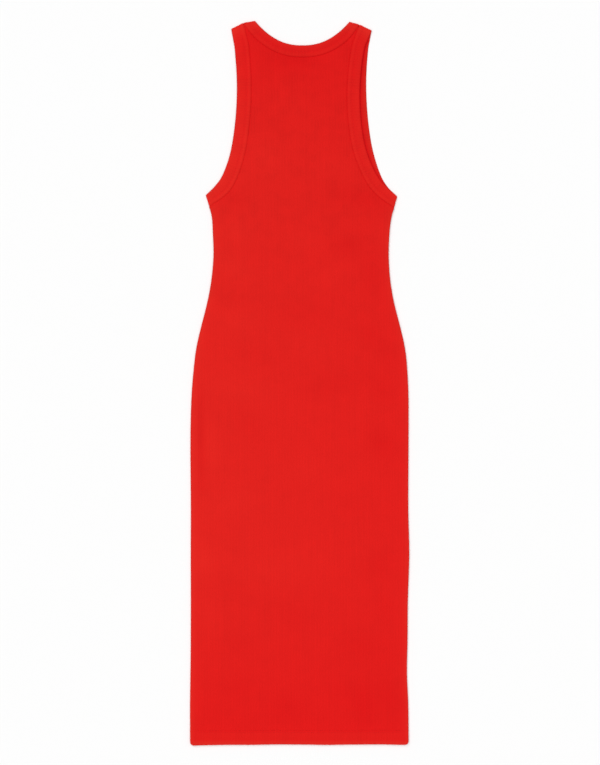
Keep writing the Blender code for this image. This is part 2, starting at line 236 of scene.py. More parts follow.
CREASES = {
    "under the neck": Crease((-0.040, 1.133), (0.022, 1.136), 0.015, -0.00078),
    "upper chest": Crease((-0.051, 1.077), (0.012, 1.050), 0.025, 0.00039),
    "left chest": Crease((-0.058, 0.994), (-0.048, 0.957), 0.022, 0.00062),
    "right chest": Crease((0.038, 0.964), (0.085, 0.954), 0.018, 0.00030),
    "left underarm": Crease((-0.126, 0.904), (-0.094, 0.909), 0.015, -0.00070),
    "right underarm": Crease((0.088, 0.909), (0.134, 0.901), 0.017, -0.00084),
    "right underarm reach": Crease((0.038, 0.911), (0.085, 0.909), 0.017, -0.00034),
    "left rib": Crease((-0.121, 0.851), (-0.091, 0.848), 0.018, 0.00075),
    "left waist": Crease((-0.128, 0.801), (-0.091, 0.781), 0.018, 0.00066),
    "right rib": Crease((0.065, 0.826), (0.095, 0.828), 0.015, -0.00091),
    "right side": Crease((0.131, 0.861), (0.141, 0.824), 0.013, 0.00043),
    "middle rib": Crease((-0.011, 0.838), (0.025, 0.831), 0.017, 0.00044),
    "right waist": Crease((0.115, 0.801), (0.125, 0.755), 0.018, -0.00051),
    "middle waist": Crease((0.032, 0.771), (0.078, 0.785), 0.018, 0.00040),
    "centre waist": Crease((-0.025, 0.718), (0.038, 0.715), 0.020, -0.00036),
    "left waist low": Crease((-0.138, 0.745), (-0.058, 0.735), 0.012, -0.00022),
    "left hip top": Crease((-0.128, 0.702), (-0.078, 0.702), 0.017, 0.00055),
    "right hip top": Crease((0.105, 0.688), (0.131, 0.668), 0.017, -0.00069),
    "right hip": Crease((0.138, 0.655), (0.158, 0.635), 0.015, -0.00041),
    "centre hip": Crease((0.002, 0.665), (0.045, 0.655), 0.022, 0.00038),
    "left hip": Crease((-0.108, 0.650), (-0.038, 0.643), 0.013, -0.00034),
    "left hip drag": Crease((-0.141, 0.599), (-0.061, 0.582), 0.022, 0.00059),
    "right hip drag": Crease((0.009, 0.585), (0.111, 0.609), 0.018, -0.00051),
    "right hip low": Crease((0.125, 0.599), (0.148, 0.579), 0.018, -0.00057),
    "left side": Crease((-0.1625, 0.585), (-0.1615, 0.425), 0.006, -0.00095),
    "left thigh": Crease((-0.146, 0.522), (-0.141, 0.462), 0.013, 0.00069),
    "left thigh drag": Crease((-0.098, 0.549), (-0.061, 0.499), 0.017, -0.00040),
    "right thigh": Crease((0.121, 0.512), (0.151, 0.486), 0.020, -0.00094),
    "below the thigh": Crease((-0.011, 0.453), (0.035, 0.459), 0.020, 0.00033),
    "left knee": Crease((-0.141, 0.396), (-0.081, 0.409), 0.018, 0.00049),
    "right knee": Crease((0.062, 0.406), (0.111, 0.389), 0.015, -0.00033),
    "knee": Crease((-0.091, 0.287), (0.032, 0.296), 0.028, 0.00047),
    "left side of the knee": Crease((-0.164, 0.323), (-0.154, 0.290), 0.017, 0.00084),
    "right calf": Crease((0.118, 0.287), (0.148, 0.306), 0.020, -0.00062),
    "right calf low": Crease((0.131, 0.247), (0.148, 0.213), 0.018, -0.00042),
    "left calf": Crease((-0.128, 0.270), (-0.091, 0.247), 0.017, -0.00041),
    "middle calf": Crease((-0.051, 0.227), (0.022, 0.204), 0.023, -0.00037),
    "left side of the calf": Crease((-0.154, 0.223), (-0.141, 0.187), 0.015, 0.00045),
    "left shin": Crease((-0.124, 0.164), (-0.081, 0.164), 0.017, -0.00036),
    "right shin": Crease((0.078, 0.167), (0.118, 0.157), 0.022, -0.00050),
    "left ankle": Crease((-0.124, 0.094), (-0.081, 0.097), 0.017, -0.00044),
    "right ankle": Crease((0.062, 0.091), (0.088, 0.084), 0.017, -0.00045),
    "right ankle low": Crease((0.108, 0.087), (0.105, 0.044), 0.020, -0.00081),
    "right side of the ankle": Crease((0.141, 0.091), (0.161, 0.067), 0.017, -0.00052),
    "low middle": Crease((-0.038, 0.064), (-0.005, 0.057), 0.022, -0.00050),
}


@dataclass(frozen=True)
class Hem:
    """The hem, turned up inside both panels and held by two rows of stitches."""

    depth: float = 0.0232
    ramp: float = 0.0022
    ply: float = 0.0005
    corner: float = 0.006
    corner_steps: int = 8
    steps: int = 120
    drop: float = 0.0019
    drop_width: float = 0.045
    wave: float = 0.00035
    wave_length: float = 0.140
    wave_turn: float = 2.594
    ripple: float = 0.25
    ripple_rate: float = 2.3
    rows: Pair = (0.0200, 0.0238)
    dip: float = 0.00014
    dip_width: float = 0.0013

    def straight(self, x: np.ndarray | float) -> np.ndarray | float:
        """The hem's line with its left corner hanging a little lower."""
        from_corner = (x + SIDES[0].left) / self.drop_width
        return -self.drop * np.exp(-from_corner * from_corner)

    def line(self, x: np.ndarray | float) -> np.ndarray | float:
        """The hem's line with the slight waves of a laid edge.

        Args:
            x: Places across the dress.

        Returns:
            The hem's height at each.
        """
        turns = 2 * math.pi * x / self.wave_length
        ripples = self.ripple * np.sin(self.ripple_rate * turns)
        return self.straight(x) + self.wave * (np.sin(turns + self.wave_turn) + ripples)

    def share(self, height: np.ndarray) -> np.ndarray:
        """1 where the hem is turned up, falling to 0 just above it."""
        return np.clip((self.depth + self.ramp - height) / self.ramp, 0.0, 1.0)


# ---------------------------------------------------------------------------------------------------
# Curves of the cut
# ---------------------------------------------------------------------------------------------------


def smooth(share: np.ndarray | float) -> np.ndarray:
    """0 to 1, with a level start and end."""
    share = np.clip(share, 0.0, 1.0)
    return share * share * (3.0 - 2.0 * share)


def bell(distance: np.ndarray | float, reach: np.ndarray | float) -> np.ndarray:
    """1 at no distance, falling away evenly on both sides."""
    return np.exp(-((distance / reach) ** 2))


def unit(vector: np.ndarray) -> np.ndarray:
    """The vectors at length 1."""
    return vector / np.linalg.norm(vector, axis=-1, keepdims=True)


def spline(knots: np.ndarray, step: float) -> np.ndarray:
    """Points along a smooth curve through the knots.

    Args:
        knots: The points that the curve passes, one a row.
        step: The longest way from one point to the next.

    Returns:
        The curve's points, both ends included.
    """
    padded = np.vstack([2 * knots[0] - knots[1], knots, 2 * knots[-1] - knots[-2]])
    gaps = np.linalg.norm(np.diff(padded, axis=0), axis=1)
    fine = []
    for i in range(1, len(padded) - 2):
        start, end = padded[i], padded[i + 1]
        leave = (end - padded[i - 1]) * gaps[i] / (gaps[i] + gaps[i - 1])
        arrive = (padded[i + 2] - start) * gaps[i] / (gaps[i] + gaps[i + 1])
        count = max(2, math.ceil(gaps[i] / step))
        t = (np.arange(count) / count)[:, None]
        fine.append(
            start * (2 * t**3 - 3 * t**2 + 1)
            + leave * (t**3 - 2 * t**2 + t)
            + end * (3 * t**2 - 2 * t**3)
            + arrive * (t**3 - t**2)
        )
    fine.append(knots[-1:])
    return np.vstack(fine)


def lengths(points: np.ndarray) -> np.ndarray:
    """The distance along the points to each of them."""
    return np.concatenate([[0.0], np.cumsum(np.linalg.norm(np.diff(points, axis=0), axis=1))])


def along(points: np.ndarray, places: np.ndarray) -> np.ndarray:
    """The points at given distances along a line of points."""
    run = lengths(points)
    return np.stack([np.interp(places, run, points[:, k]) for k in range(points.shape[1])], axis=1)


def beyond(start: np.ndarray, end: np.ndarray, towards: Pair) -> np.ndarray:
    """Finds the way across a line.

    Args:
        start: The line's start.
        end: Its end.
        towards: A direction on the side that is wanted.

    Returns:
        The unit vector across the line on that side.
    """
    way = unit(end - start)
    across = np.array([-way[1], way[0]])
    return across if across @ np.array(towards) > 0 else -across


def search_tree(points: np.ndarray) -> KDTree:
    """Sorts points of the cut, so that the nearest one to a place is soon found.

    Args:
        points: The points, one a row.

    Returns:
        The tree to search.
    """
    tree = KDTree(len(points))
    for i, (x, y) in enumerate(points):
        tree.insert((x, y, 0.0), i)
    tree.balance()
    return tree


def turned_outward(work: bmesh.types.BMesh) -> bool:
    """Turns a closed shell's faces round if they point inwards.

    Args:
        work: The shell.

    Returns:
        Whether they were turned.
    """
    inwards = work.calc_volume(signed=True) < 0
    if inwards:
        bmesh.ops.reverse_faces(work, faces=work.faces)
    return inwards


@dataclass(frozen=True)
class FoldLine:
    """A binding's fold: the ends of its line, and how far each end's outside goes for each unit out."""

    edge: np.ndarray
    seam: np.ndarray
    edge_out: np.ndarray
    seam_out: np.ndarray


@dataclass
class Band:
    """A binding in one layer: its edge, where its seam starts and ends, and its width."""

    edge: np.ndarray
    start_seam: np.ndarray
    end_seam: np.ndarray
    width: float
    inward: int
    pitch: float
    reach: float = 0.003
    turn: float = 0.030

    @property
    def length(self) -> float:
        """The length of the binding's edge."""
        return float(lengths(self.edge)[-1])

    @property
    def ribs(self) -> int:
        """How many ribs cross the binding in this layer."""
        return round(self.length / self.pitch)

    def stations(self, per_rib: int) -> tuple[np.ndarray, np.ndarray]:
        """The edge's and the seam's points across each rib.

        Args:
            per_rib: How many stations there are to a rib.

        Returns:
            The edge's points, and the seam's points that lie across the binding from them.
        """
        places = np.linspace(0.0, self.length, self.ribs * per_rib + 1)
        edge = along(self.edge, places)
        ahead = along(self.edge, np.minimum(places + self.reach, self.length))
        way = ahead - along(self.edge, np.maximum(places - self.reach, 0.0))
        across = unit(np.stack([-way[:, 1], way[:, 0]], axis=1)) * self.inward
        width = np.full(len(places), self.width)
        for place, corner, seam in (
            (0.0, self.edge[0], self.start_seam),
            (self.length, self.edge[-1], self.end_seam),
        ):
            near = 1.0 - smooth(np.abs(places - place) / self.turn)
            way_over = seam - corner
            across += (unit(way_over) - across) * near[:, None]
            width += (np.linalg.norm(way_over) - self.width) * near
        return edge, edge + unit(across) * width[:, None]


@dataclass
class Pattern:
    """The dress's cut, as outlines in its own frame: X from the middle line, Y up from the hem."""

    cloth: Cloth = field(default_factory=Cloth)
    hem: Hem = field(default_factory=Hem)
    side_step: float = 0.004
    curve_step: float = 0.0012
    armhole_heights: Pair = (0.9132, 0.9096)
    armhole_bands: Pair = (0.0243, 0.0220)
    band_at_side: float = 0.0204
    band_cloth: float = 0.0019
    edge_out_limit: float = 1.7
    seam_gap: float = -0.0003
    join_gap: float = -0.0001
    tip_width: float = 0.0013
    seam_samples: int = 4

    def __post_init__(self) -> None:
        """Works out both side seams."""
        self.fold_radius = self.cloth.back_inside + self.band_cloth - self.cloth.fold_level
        self.sides = {}
        for hand in Hand:
            reach = [row.left if hand is Hand.LEFT else row.right for row in SIDES]
            knots = [(hand.value * out, row.height) for out, row in zip(reach, SIDES)]
            self.sides[hand] = spline(np.array(knots), self.side_step)

    def of_hand(self, pair: Pair, hand: Hand) -> float:
        """The value for one side of the dress."""
        return pair[0] if hand is Hand.LEFT else pair[1]

    def side_at(self, hand: Hand, height: np.ndarray | float) -> np.ndarray:
        """The side seam's X at given heights."""
        side = self.sides[hand]
        return np.interp(height, side[:, 1], side[:, 0])

    def side_line(self, hand: Hand) -> tuple[np.ndarray, np.ndarray, np.ndarray]:
        """Finds where an armhole binding meets the side.

        Args:
            hand: The side of the dress.

        Returns:
            The side's points at the binding's edge and at its seam, and the way out from them.
        """
        top = self.of_hand(self.armhole_heights, hand)
        low = top - self.band_at_side
        corner = np.array([self.side_at(hand, top), min(top, self.sides[hand][-1, 1])])
        reach = np.array([self.side_at(hand, low), low])
        return corner, reach, beyond(corner, reach, (hand.value, 0.0))

    def side_fold(self, hand: Hand, drop: float) -> np.ndarray:
        """A point of the line that an armhole binding folds about, some way down the side."""
        corner, reach, outward = self.side_line(hand)
        return corner + unit(reach - corner) * drop - outward * self.fold_radius

    def beside(self, hand: Hand, end: str) -> np.ndarray:
        """The join in a shoulder's fold, as one binding reaches it."""
        join, corner = np.array(SHOULDERS[hand].join), np.array(getattr(SHOULDERS[hand], end))
        return join + unit(corner - join) * self.join_gap

    def armhole_band(self, hand: Hand, layer: Layer) -> Band:
        """Sets out an armhole binding in one layer, from the shoulder down to the side.

        Args:
            hand: The side of the dress.
            layer: The layer.

        Returns:
            The binding.
        """
        rows = [(hand.value * getattr(row, layer.value), row.height) for row in ARMHOLES[hand]]
        knots = np.vstack([SHOULDERS[hand].arm, rows, self.side_fold(hand, 0.0)])
        return Band(
            edge=spline(knots, self.curve_step),
            start_seam=self.beside(hand, "arm"),
            end_seam=self.side_fold(hand, self.band_at_side),
            width=self.of_hand(self.armhole_bands, hand),
            inward=-hand.value,
            pitch=self.cloth.pitch,
        )

    def neck_band(self, layer: Layer) -> Band:
        """Sets out the neck binding in one layer, from the left shoulder to the right one.

        Args:
            layer: The layer.

        Returns:
            The binding.
        """
        neck = NECKS[layer]
        left, right = SHOULDERS[Hand.LEFT].neck, SHOULDERS[Hand.RIGHT].neck
        x = np.linspace(left[0], right[0], math.ceil((right[0] - left[0]) / self.curve_step) + 1)
        y = neck.bottom + neck.rise * (np.abs(x - neck.middle) / neck.half) ** neck.power
        lifts = left[1] - y[0], right[1] - y[-1]
        for lift, corner in zip(lifts, (left, right)):
            near = smooth(1.0 - np.abs(x - corner[0]) / neck.half)
            y = y + lift * near**neck.corner_sharpness
        return Band(
            edge=np.stack([x, y], axis=1),
            start_seam=self.beside(Hand.LEFT, "neck"),
            end_seam=self.beside(Hand.RIGHT, "neck"),
            width=neck.band,
            inward=-1,
            pitch=self.cloth.pitch,
        )

    def shoulder_out(self, hand: Hand) -> tuple[np.ndarray, np.ndarray, np.ndarray]:
        """Finds the ways out from a shoulder.

        Args:
            hand: The side of the dress.

        Returns:
            The ways out from its two folds, and the one that both share at the join.
        """
        neck, join, arm = (np.array(getattr(SHOULDERS[hand], k)) for k in ("neck", "join", "arm"))
        at_neck, at_arm = beyond(neck, join, (0.0, 1.0)), beyond(join, arm, (0.0, 1.0))
        return at_neck, at_arm, (at_neck + at_arm) / (1.0 + at_neck @ at_arm)

    def fold(self, bands: tuple[Band, Band], last: bool, out: np.ndarray, seam_out: np.ndarray) -> FoldLine:
        """The fold at one end of a binding's two layers.

        Args:
            bands: The binding in the back and in the front layer.
            last: Whether the fold is at the end of the bands and not at their start.
            out: The way out across the fold's line.
            seam_out: The way out at the seam.

        Returns:
            The fold's line and its ways out.
        """
        end, beside = (-1, -2) if last else (0, 1)
        way = unit(sum(unit(band.edge[end] - band.edge[beside]) for band in bands))
        seam = bands[0].end_seam if last else bands[0].start_seam
        return FoldLine(
            bands[0].edge[end], seam, way / max(way @ out, 1.0 / self.edge_out_limit), seam_out
        )

    def neck_folds(self, bands: tuple[Band, Band]) -> tuple[FoldLine, FoldLine]:
        """Sets out the neck binding's folds.

        Args:
            bands: The binding in the back and in the front layer.

        Returns:
            The folds at the left shoulder and at the right one.
        """
        folds = []
        for hand, last in ((Hand.LEFT, False), (Hand.RIGHT, True)):
            at_neck, _, shared = self.shoulder_out(hand)
            folds.append(self.fold(bands, last, at_neck, shared))
        return folds[0], folds[1]

    def armhole_folds(self, hand: Hand, bands: tuple[Band, Band]) -> tuple[FoldLine, FoldLine]:
        """Sets out an armhole binding's folds.

        Args:
            hand: The side of the dress.
            bands: The binding in the back and in the front layer.

        Returns:
            The folds at the shoulder and under the arm.
        """
        _, at_arm, shared = self.shoulder_out(hand)
        at_side = self.side_line(hand)[2]
        return self.fold(bands, False, at_arm, shared), self.fold(bands, True, at_side, at_side)

    def seam_line(self, band: Band, side: int) -> np.ndarray:
        """Sets out a panel's own edge along a binding, a little way in under the binding's seam.

        Args:
            band: The binding.
            side: 1 or -1, for the side of the seam that the panel lies on.

        Returns:
            The edge's points.
        """
        _, seam = band.stations(self.seam_samples)
        ahead = np.vstack([seam[1:], seam[-1:]]) - np.vstack([seam[:1], seam[:-1]])
        return seam + unit(np.stack([-ahead[:, 1], ahead[:, 0]], axis=1)) * self.seam_gap * side

    def trimmed(self, arm: np.ndarray, neck: np.ndarray) -> tuple[np.ndarray, np.ndarray]:
        """Cuts off a panel's two edges in a strap where they come close together.

        Args:
            arm: The edge along the armhole binding, from the shoulder.
            neck: The edge along the neck binding, from the shoulder.

        Returns:
            What is left of both, each with a tip of its own.
        """
        count = min(len(arm), len(neck))
        apart = np.linalg.norm(arm[:count] - neck[:count], axis=1)
        i = int(np.argmax(apart > self.tip_width))
        share = (self.tip_width - apart[i - 1]) / (apart[i] - apart[i - 1])
        tips = [line[i - 1] + (line[i] - line[i - 1]) * share for line in (arm, neck)]
        return np.vstack([tips[:1], arm[i:]]), np.vstack([tips[1:], neck[i:]])

    def hem_points(self) -> np.ndarray:
        """Sets out the hem from its left corner to its right one, both rounded.

        Returns:
            Its points.
        """
        corner = self.hem.corner
        middles = corner - SIDES[0].left, SIDES[0].right - corner
        quarter = np.linspace(0.0, 0.5 * math.pi, self.hem.corner_steps + 1)
        parts = []
        for middle, start in zip(middles, (math.pi, 1.5 * math.pi)):
            x = middle + corner * np.cos(start + quarter)
            y = corner + corner * np.sin(start + quarter) + self.hem.line(x)
            parts.append(np.stack([x, y], axis=1))
        x = np.linspace(middles[0], middles[1], self.hem.steps + 1)[1:-1]
        parts.insert(1, np.stack([x, self.hem.line(x)], axis=1))
        return np.vstack(parts)

    def outline(self, layer: Layer) -> np.ndarray:
        """Sets out a panel's outline.

        Args:
            layer: The panel's layer.

        Returns:
            Its points, from the hem's left corner against the clock.
        """
        necks = self.seam_line(self.neck_band(layer), -1)
        half = len(necks) // 2
        parts = {}
        for hand, neck_half in ((Hand.LEFT, necks[:half]), (Hand.RIGHT, necks[half:][::-1])):
            edge = self.seam_line(self.armhole_band(hand, layer), -hand.value)
            arm, near = self.trimmed(edge, neck_half)
            join = self.side_fold(hand, self.band_at_side + self.seam_gap)
            corner = join + self.side_line(hand)[2] * self.fold_radius
            side = self.sides[hand]
            kept = (side[:, 1] > self.hem.corner) & (side[:, 1] < corner[1] - 0.5 * self.side_step)
            parts[hand] = (
                np.vstack([side[kept], corner]),
                np.vstack([arm[:-1], join]),
                near,
            )
        left_side, left_arm, left_neck = parts[Hand.LEFT]
        right_side, right_arm, right_neck = parts[Hand.RIGHT]
        return np.vstack(
            [
                self.hem_points(),
                right_side,
                right_arm[::-1],
                right_neck,
                left_neck[::-1],
                left_arm,
                left_side[::-1],
            ]
        )

    def origin(self) -> np.ndarray:
        """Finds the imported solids' origin from their lower panel's left and bottom.

        Returns:
            The origin in the pattern's frame.
        """
        low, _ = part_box("front_panel")
        left = self.sides[Hand.LEFT][:, 0].min()
        corner = self.hem.straight(self.hem.corner - SIDES[0].left)
        return np.array([left - low.x, corner - low.y, 0.0])


# ---------------------------------------------------------------------------------------------------
# Node trees
# ---------------------------------------------------------------------------------------------------


@dataclass
class Tree:
    """A node tree with the few calls that its makers need."""

    tree: bpy.types.NodeTree

    def socket(self, name: str, kind: str, default: float | None = None, output: bool = False) -> None:
        """Adds a named input or output to the group.

        Args:
            name: Its name.
            kind: Its kind, as in the socket's type name.
            default: An input's value where nothing else is given.
            output: Whether it is an output.
        """
        made = self.tree.interface.new_socket(
            name=name, in_out="OUTPUT" if output else "INPUT", socket_type="NodeSocket" + kind
        )
        if default is not None:
            made.default_value = default

    def add(self, kind: str, inputs: dict | None = None, **settings: object) -> bpy.types.Node:
        """Adds a node.

        Args:
            kind: The node's type name.
            inputs: For each input's name or number, a value or the output socket that feeds it.
            settings: The node's own properties.

        Returns:
            The node.
        """
        node = self.tree.nodes.new(kind)
        for name, value in settings.items():
            setattr(node, name, value)
        for key, value in (inputs or {}).items():
            if isinstance(value, bpy.types.NodeSocket):
                self.link(value, node.inputs[key])
            else:
                node.inputs[key].default_value = value
        return node

    def link(self, source: bpy.types.NodeSocket, target: bpy.types.NodeSocket) -> None:
        """Feeds one socket from another."""
        self.tree.links.new(source, target)

    def math(self, operation: str, *values: object) -> bpy.types.NodeSocket:
        """The output of a Math node with an operation and its values."""
        node = self.add("ShaderNodeMath", dict(enumerate(values)), operation=operation)
        return node.outputs[0]

    def centred(self, value: bpy.types.NodeSocket) -> bpy.types.NodeSocket:
        """A value from 0 to 1, moved to lie about 0."""
        return self.math("SUBTRACT", value, 0.5)

    def from_rib(self, ribs: bpy.types.NodeSocket) -> bpy.types.NodeSocket:
        """The distance to the nearest rib's middle, in rib pitches, at a place counted in ribs."""
        return self.math("ABSOLUTE", self.math("SUBTRACT", ribs, self.math("ROUND", ribs)))

    def smooth_range(self, value: bpy.types.NodeSocket, low: object, high: object) -> bpy.types.NodeSocket:
        """The output of a smooth step from 0 at low to 1 at high."""
        inputs = {"Value": value, "From Min": low, "From Max": high}
        return self.add("ShaderNodeMapRange", inputs, interpolation_type="SMOOTHSTEP").outputs["Result"]

    def noise(self, vector: bpy.types.NodeSocket, scale: float, detail: float) -> bpy.types.NodeSocket:
        """A noise from 0 to 1."""
        inputs = {"Vector": vector, "Scale": scale, "Detail": detail}
        return self.add("ShaderNodeTexNoise", inputs).outputs[0]

    def blended(self, share: object, low: Colour, high: Colour, clamp: bool = True) -> bpy.types.NodeSocket:
        """The output of a mix of two colours: low at a share of 0, high at 1."""
        inputs = {"Factor": share, 6: (*low, 1.0), 7: (*high, 1.0)}
        return self.add("ShaderNodeMix", inputs, data_type="RGBA", clamp_factor=clamp).outputs[2]


def geometry_tree(name: str, sizes: tuple[str, ...]) -> tuple[Tree, bpy.types.Node]:
    """Starts a Geometry Nodes tree.

    Args:
        name: The tree's name.
        sizes: The names of its number inputs, beside its geometry, material and seed.

    Returns:
        The tree and its input node.
    """
    made = Tree(bpy.data.node_groups.new(name, "GeometryNodeTree"))
    made.tree.is_modifier = True
    made.socket("Geometry", "Geometry")
    made.socket("Finish", "Material")
    for size in sizes:
        made.socket(size, "Float", 0.0)
    made.socket("Seed", "Int", 0)
    made.socket("Geometry", "Geometry", output=True)
    return made, made.tree.nodes.new("NodeGroupInput")


def finish_tree(made: Tree, source: bpy.types.Node, geometry: bpy.types.NodeSocket) -> bpy.types.NodeTree:
    """Ends a Geometry Nodes tree with real geometry in its finish.

    Args:
        made: The tree.
        source: Its input node.
        geometry: What it has made.

    Returns:
        Blender's own tree.
    """
    real = made.add("GeometryNodeRealizeInstances", {"Geometry": geometry})
    inputs = {"Geometry": real.outputs[0], "Material": source.outputs["Finish"]}
    dressed = made.add("GeometryNodeSetMaterial", inputs)
    made.add("NodeGroupOutput", {"Geometry": dressed.outputs[0]})
    return made.tree


class RibRelief:
    """Raises a cloth's ribs out of its smooth outer surface."""

    def __init__(self) -> None:
        """Builds the tree."""
        made, source = geometry_tree("rib_relief", ("Pitch", "Crown", "Foot"))
        place = made.add("GeometryNodeInputNamedAttribute", {"Name": PLACE}, data_type="FLOAT")
        lift = made.add("GeometryNodeInputNamedAttribute", {"Name": LIFT}, data_type="FLOAT_VECTOR")
        ribs = made.math("DIVIDE", place.outputs[0], source.outputs["Pitch"])
        share = made.smooth_range(made.from_rib(ribs), source.outputs["Foot"], source.outputs["Crown"])
        offset = made.add("ShaderNodeVectorMath", {0: lift.outputs[0], "Scale": share}, operation="SCALE")
        inputs = {"Geometry": source.outputs["Geometry"], "Offset": offset.outputs[0]}
        moved = made.add("GeometryNodeSetPosition", inputs)
        self.tree = finish_tree(made, source, moved.outputs[0])


@dataclass
class StitchRun:
    """Lays flat oval stitches of thread one after another along paths.

    A stitch starts as a ball 1 across, with few segments and rings, and is flattened from above.
    """

    segments: int = 8
    rings: int = 5
    radius: float = 0.5
    flatness: float = 0.8

    def __post_init__(self) -> None:
        """Builds the tree."""
        made, source = geometry_tree("stitch_run", ("Spacing", "Length", "Thickness", "Slant"))
        up = (0.0, 0.0, 1.0)
        curve = made.add("GeometryNodeMeshToCurve", {0: source.outputs["Geometry"]})
        inputs = {"Curve": curve.outputs[0], "Length": source.outputs["Spacing"]}
        places = made.add("GeometryNodeResampleCurve", inputs, mode="LENGTH")
        inputs = {"Segments": self.segments, "Rings": self.rings, "Radius": self.radius}
        thread = made.add("GeometryNodeMeshUVSphere", inputs)
        tangent = made.add("GeometryNodeInputTangent")
        inputs = {0: tangent.outputs[0], 1: up}
        turn = made.add("FunctionNodeAxesToRotation", inputs, primary_axis="X", secondary_axis="Z")
        most = source.outputs["Slant"]
        inputs = {2: made.math("MULTIPLY", most, -1.0), 3: most, "Seed": source.outputs["Seed"]}
        slant = made.add("FunctionNodeRandomValue", inputs, data_type="FLOAT")
        twist = made.add("FunctionNodeAxisAngleToRotation", {0: up, 1: slant.outputs[1]})
        inputs = {0: turn.outputs[0], 1: twist.outputs[0]}
        turned = made.add("FunctionNodeRotateRotation", inputs, rotation_space="LOCAL")
        flat = made.math("MULTIPLY", source.outputs["Thickness"], self.flatness)
        inputs = {0: source.outputs["Length"], 1: source.outputs["Thickness"], 2: flat}
        size = made.add("ShaderNodeCombineXYZ", inputs)
        inputs = {
            "Points": places.outputs[0],
            "Instance": thread.outputs[0],
            "Rotation": turned.outputs[0],
            "Scale": size.outputs[0],
        }
        laid = made.add("GeometryNodeInstanceOnPoints", inputs)
        self.tree = finish_tree(made, source, laid.outputs[0])


def placed(name: str, data: bpy.types.ID) -> bpy.types.Object:
    """Puts a mesh, light or camera in the scene.

    Args:
        name: The new object's name.
        data: The mesh, light or camera.

    Returns:
        The object.
    """
    made = bpy.data.objects.new(name, data)
    bpy.context.scene.collection.objects.link(made)
    return made


def grown(blank: bpy.types.Object, tree: bpy.types.NodeTree, values: dict[str, object]) -> bpy.types.Object:
    """Runs a Geometry Nodes tree on an object and keeps its result as a plain, smooth mesh.

    Args:
        blank: The object that the tree works on. It is removed.
        tree: The tree.
        values: The tree's inputs by name.

    Returns:
        A new object of the same name with the finished mesh.
    """
    modifier = blank.modifiers.new("grow", "NODES")
    modifier.node_group = tree
    for item in tree.interface.items_tree:
        if item.in_out == "INPUT" and item.name in values:
            modifier[item.identifier] = values[item.name]
    graph = bpy.context.evaluated_depsgraph_get()
    mesh = bpy.data.meshes.new_from_object(
        blank.evaluated_get(graph), preserve_all_data_layers=True, depsgraph=graph
    )
    name = blank.name
    bpy.data.objects.remove(blank, do_unlink=True)
    mesh.name = name
    mesh.shade_smooth()
    return placed(name, mesh)


def tell(mesh: bpy.types.Mesh, name: str, kind: str, values: np.ndarray) -> None:
    """Writes a point attribute to a mesh."""
    slot = mesh.attributes.new(name, kind, "POINT")
    slot.data.foreach_set("vector" if kind == "FLOAT_VECTOR" else "value", values.ravel())


# ---------------------------------------------------------------------------------------------------
# Finishes
# ---------------------------------------------------------------------------------------------------


@dataclass
class KnitGroup:
    """The loops of a rib knit: plaited columns on the ribs and purled bumps between them.

    The depths of a column's legs and of a purl are each a pair: how far a course changes it, and its mean.
    """

    cloth: Cloth
    columns: float = 4.0
    course: float = 0.0010
    plait: float = 1.3
    leg_depth: Pair = (0.35, 0.65)
    purl_depth: Pair = (0.3, 0.5)

    def __post_init__(self) -> None:
        """Builds the shader group."""
        made = Tree(bpy.data.node_groups.new("knit_loops", "ShaderNodeTree"))
        made.socket("Vector", "Vector")
        for name, value in (("Pitch", self.cloth.pitch), ("Columns", self.columns), ("Course", self.course)):
            made.socket(name, "Float", value)
        for name in ("Height", "Groove"):
            made.socket(name, "Float", output=True)
        source = made.tree.nodes.new("NodeGroupInput")
        full_turn = 2 * math.pi
        place = made.add("ShaderNodeSeparateXYZ", {0: source.outputs["Vector"]})
        ribs = made.math("DIVIDE", place.outputs["X"], source.outputs["Pitch"])
        groove = made.smooth_range(made.from_rib(ribs), self.cloth.crown, self.cloth.foot)
        columns = made.math("MULTIPLY", ribs, source.outputs["Columns"])
        off = made.math("ABSOLUTE", made.centred(made.math("FRACT", columns)))
        leg = made.math("SINE", made.math("MULTIPLY", off, full_turn))
        course = made.math("DIVIDE", place.outputs["Y"], source.outputs["Course"])
        plait = made.math("ADD", course, made.math("MULTIPLY", off, self.plait))
        wave = made.math("COSINE", made.math("MULTIPLY", plait, full_turn))
        plain = made.math("MULTIPLY", leg, made.math("MULTIPLY_ADD", wave, *self.leg_depth))
        bump = made.math("COSINE", made.math("MULTIPLY", course, full_turn))
        purl = made.math("MULTIPLY_ADD", bump, *self.purl_depth)
        mixed = made.add("ShaderNodeMix", {"Factor": groove, 2: plain, 3: purl})
        made.add("NodeGroupOutput", {"Height": mixed.outputs[0], "Groove": groove})
        self.tree = made.tree


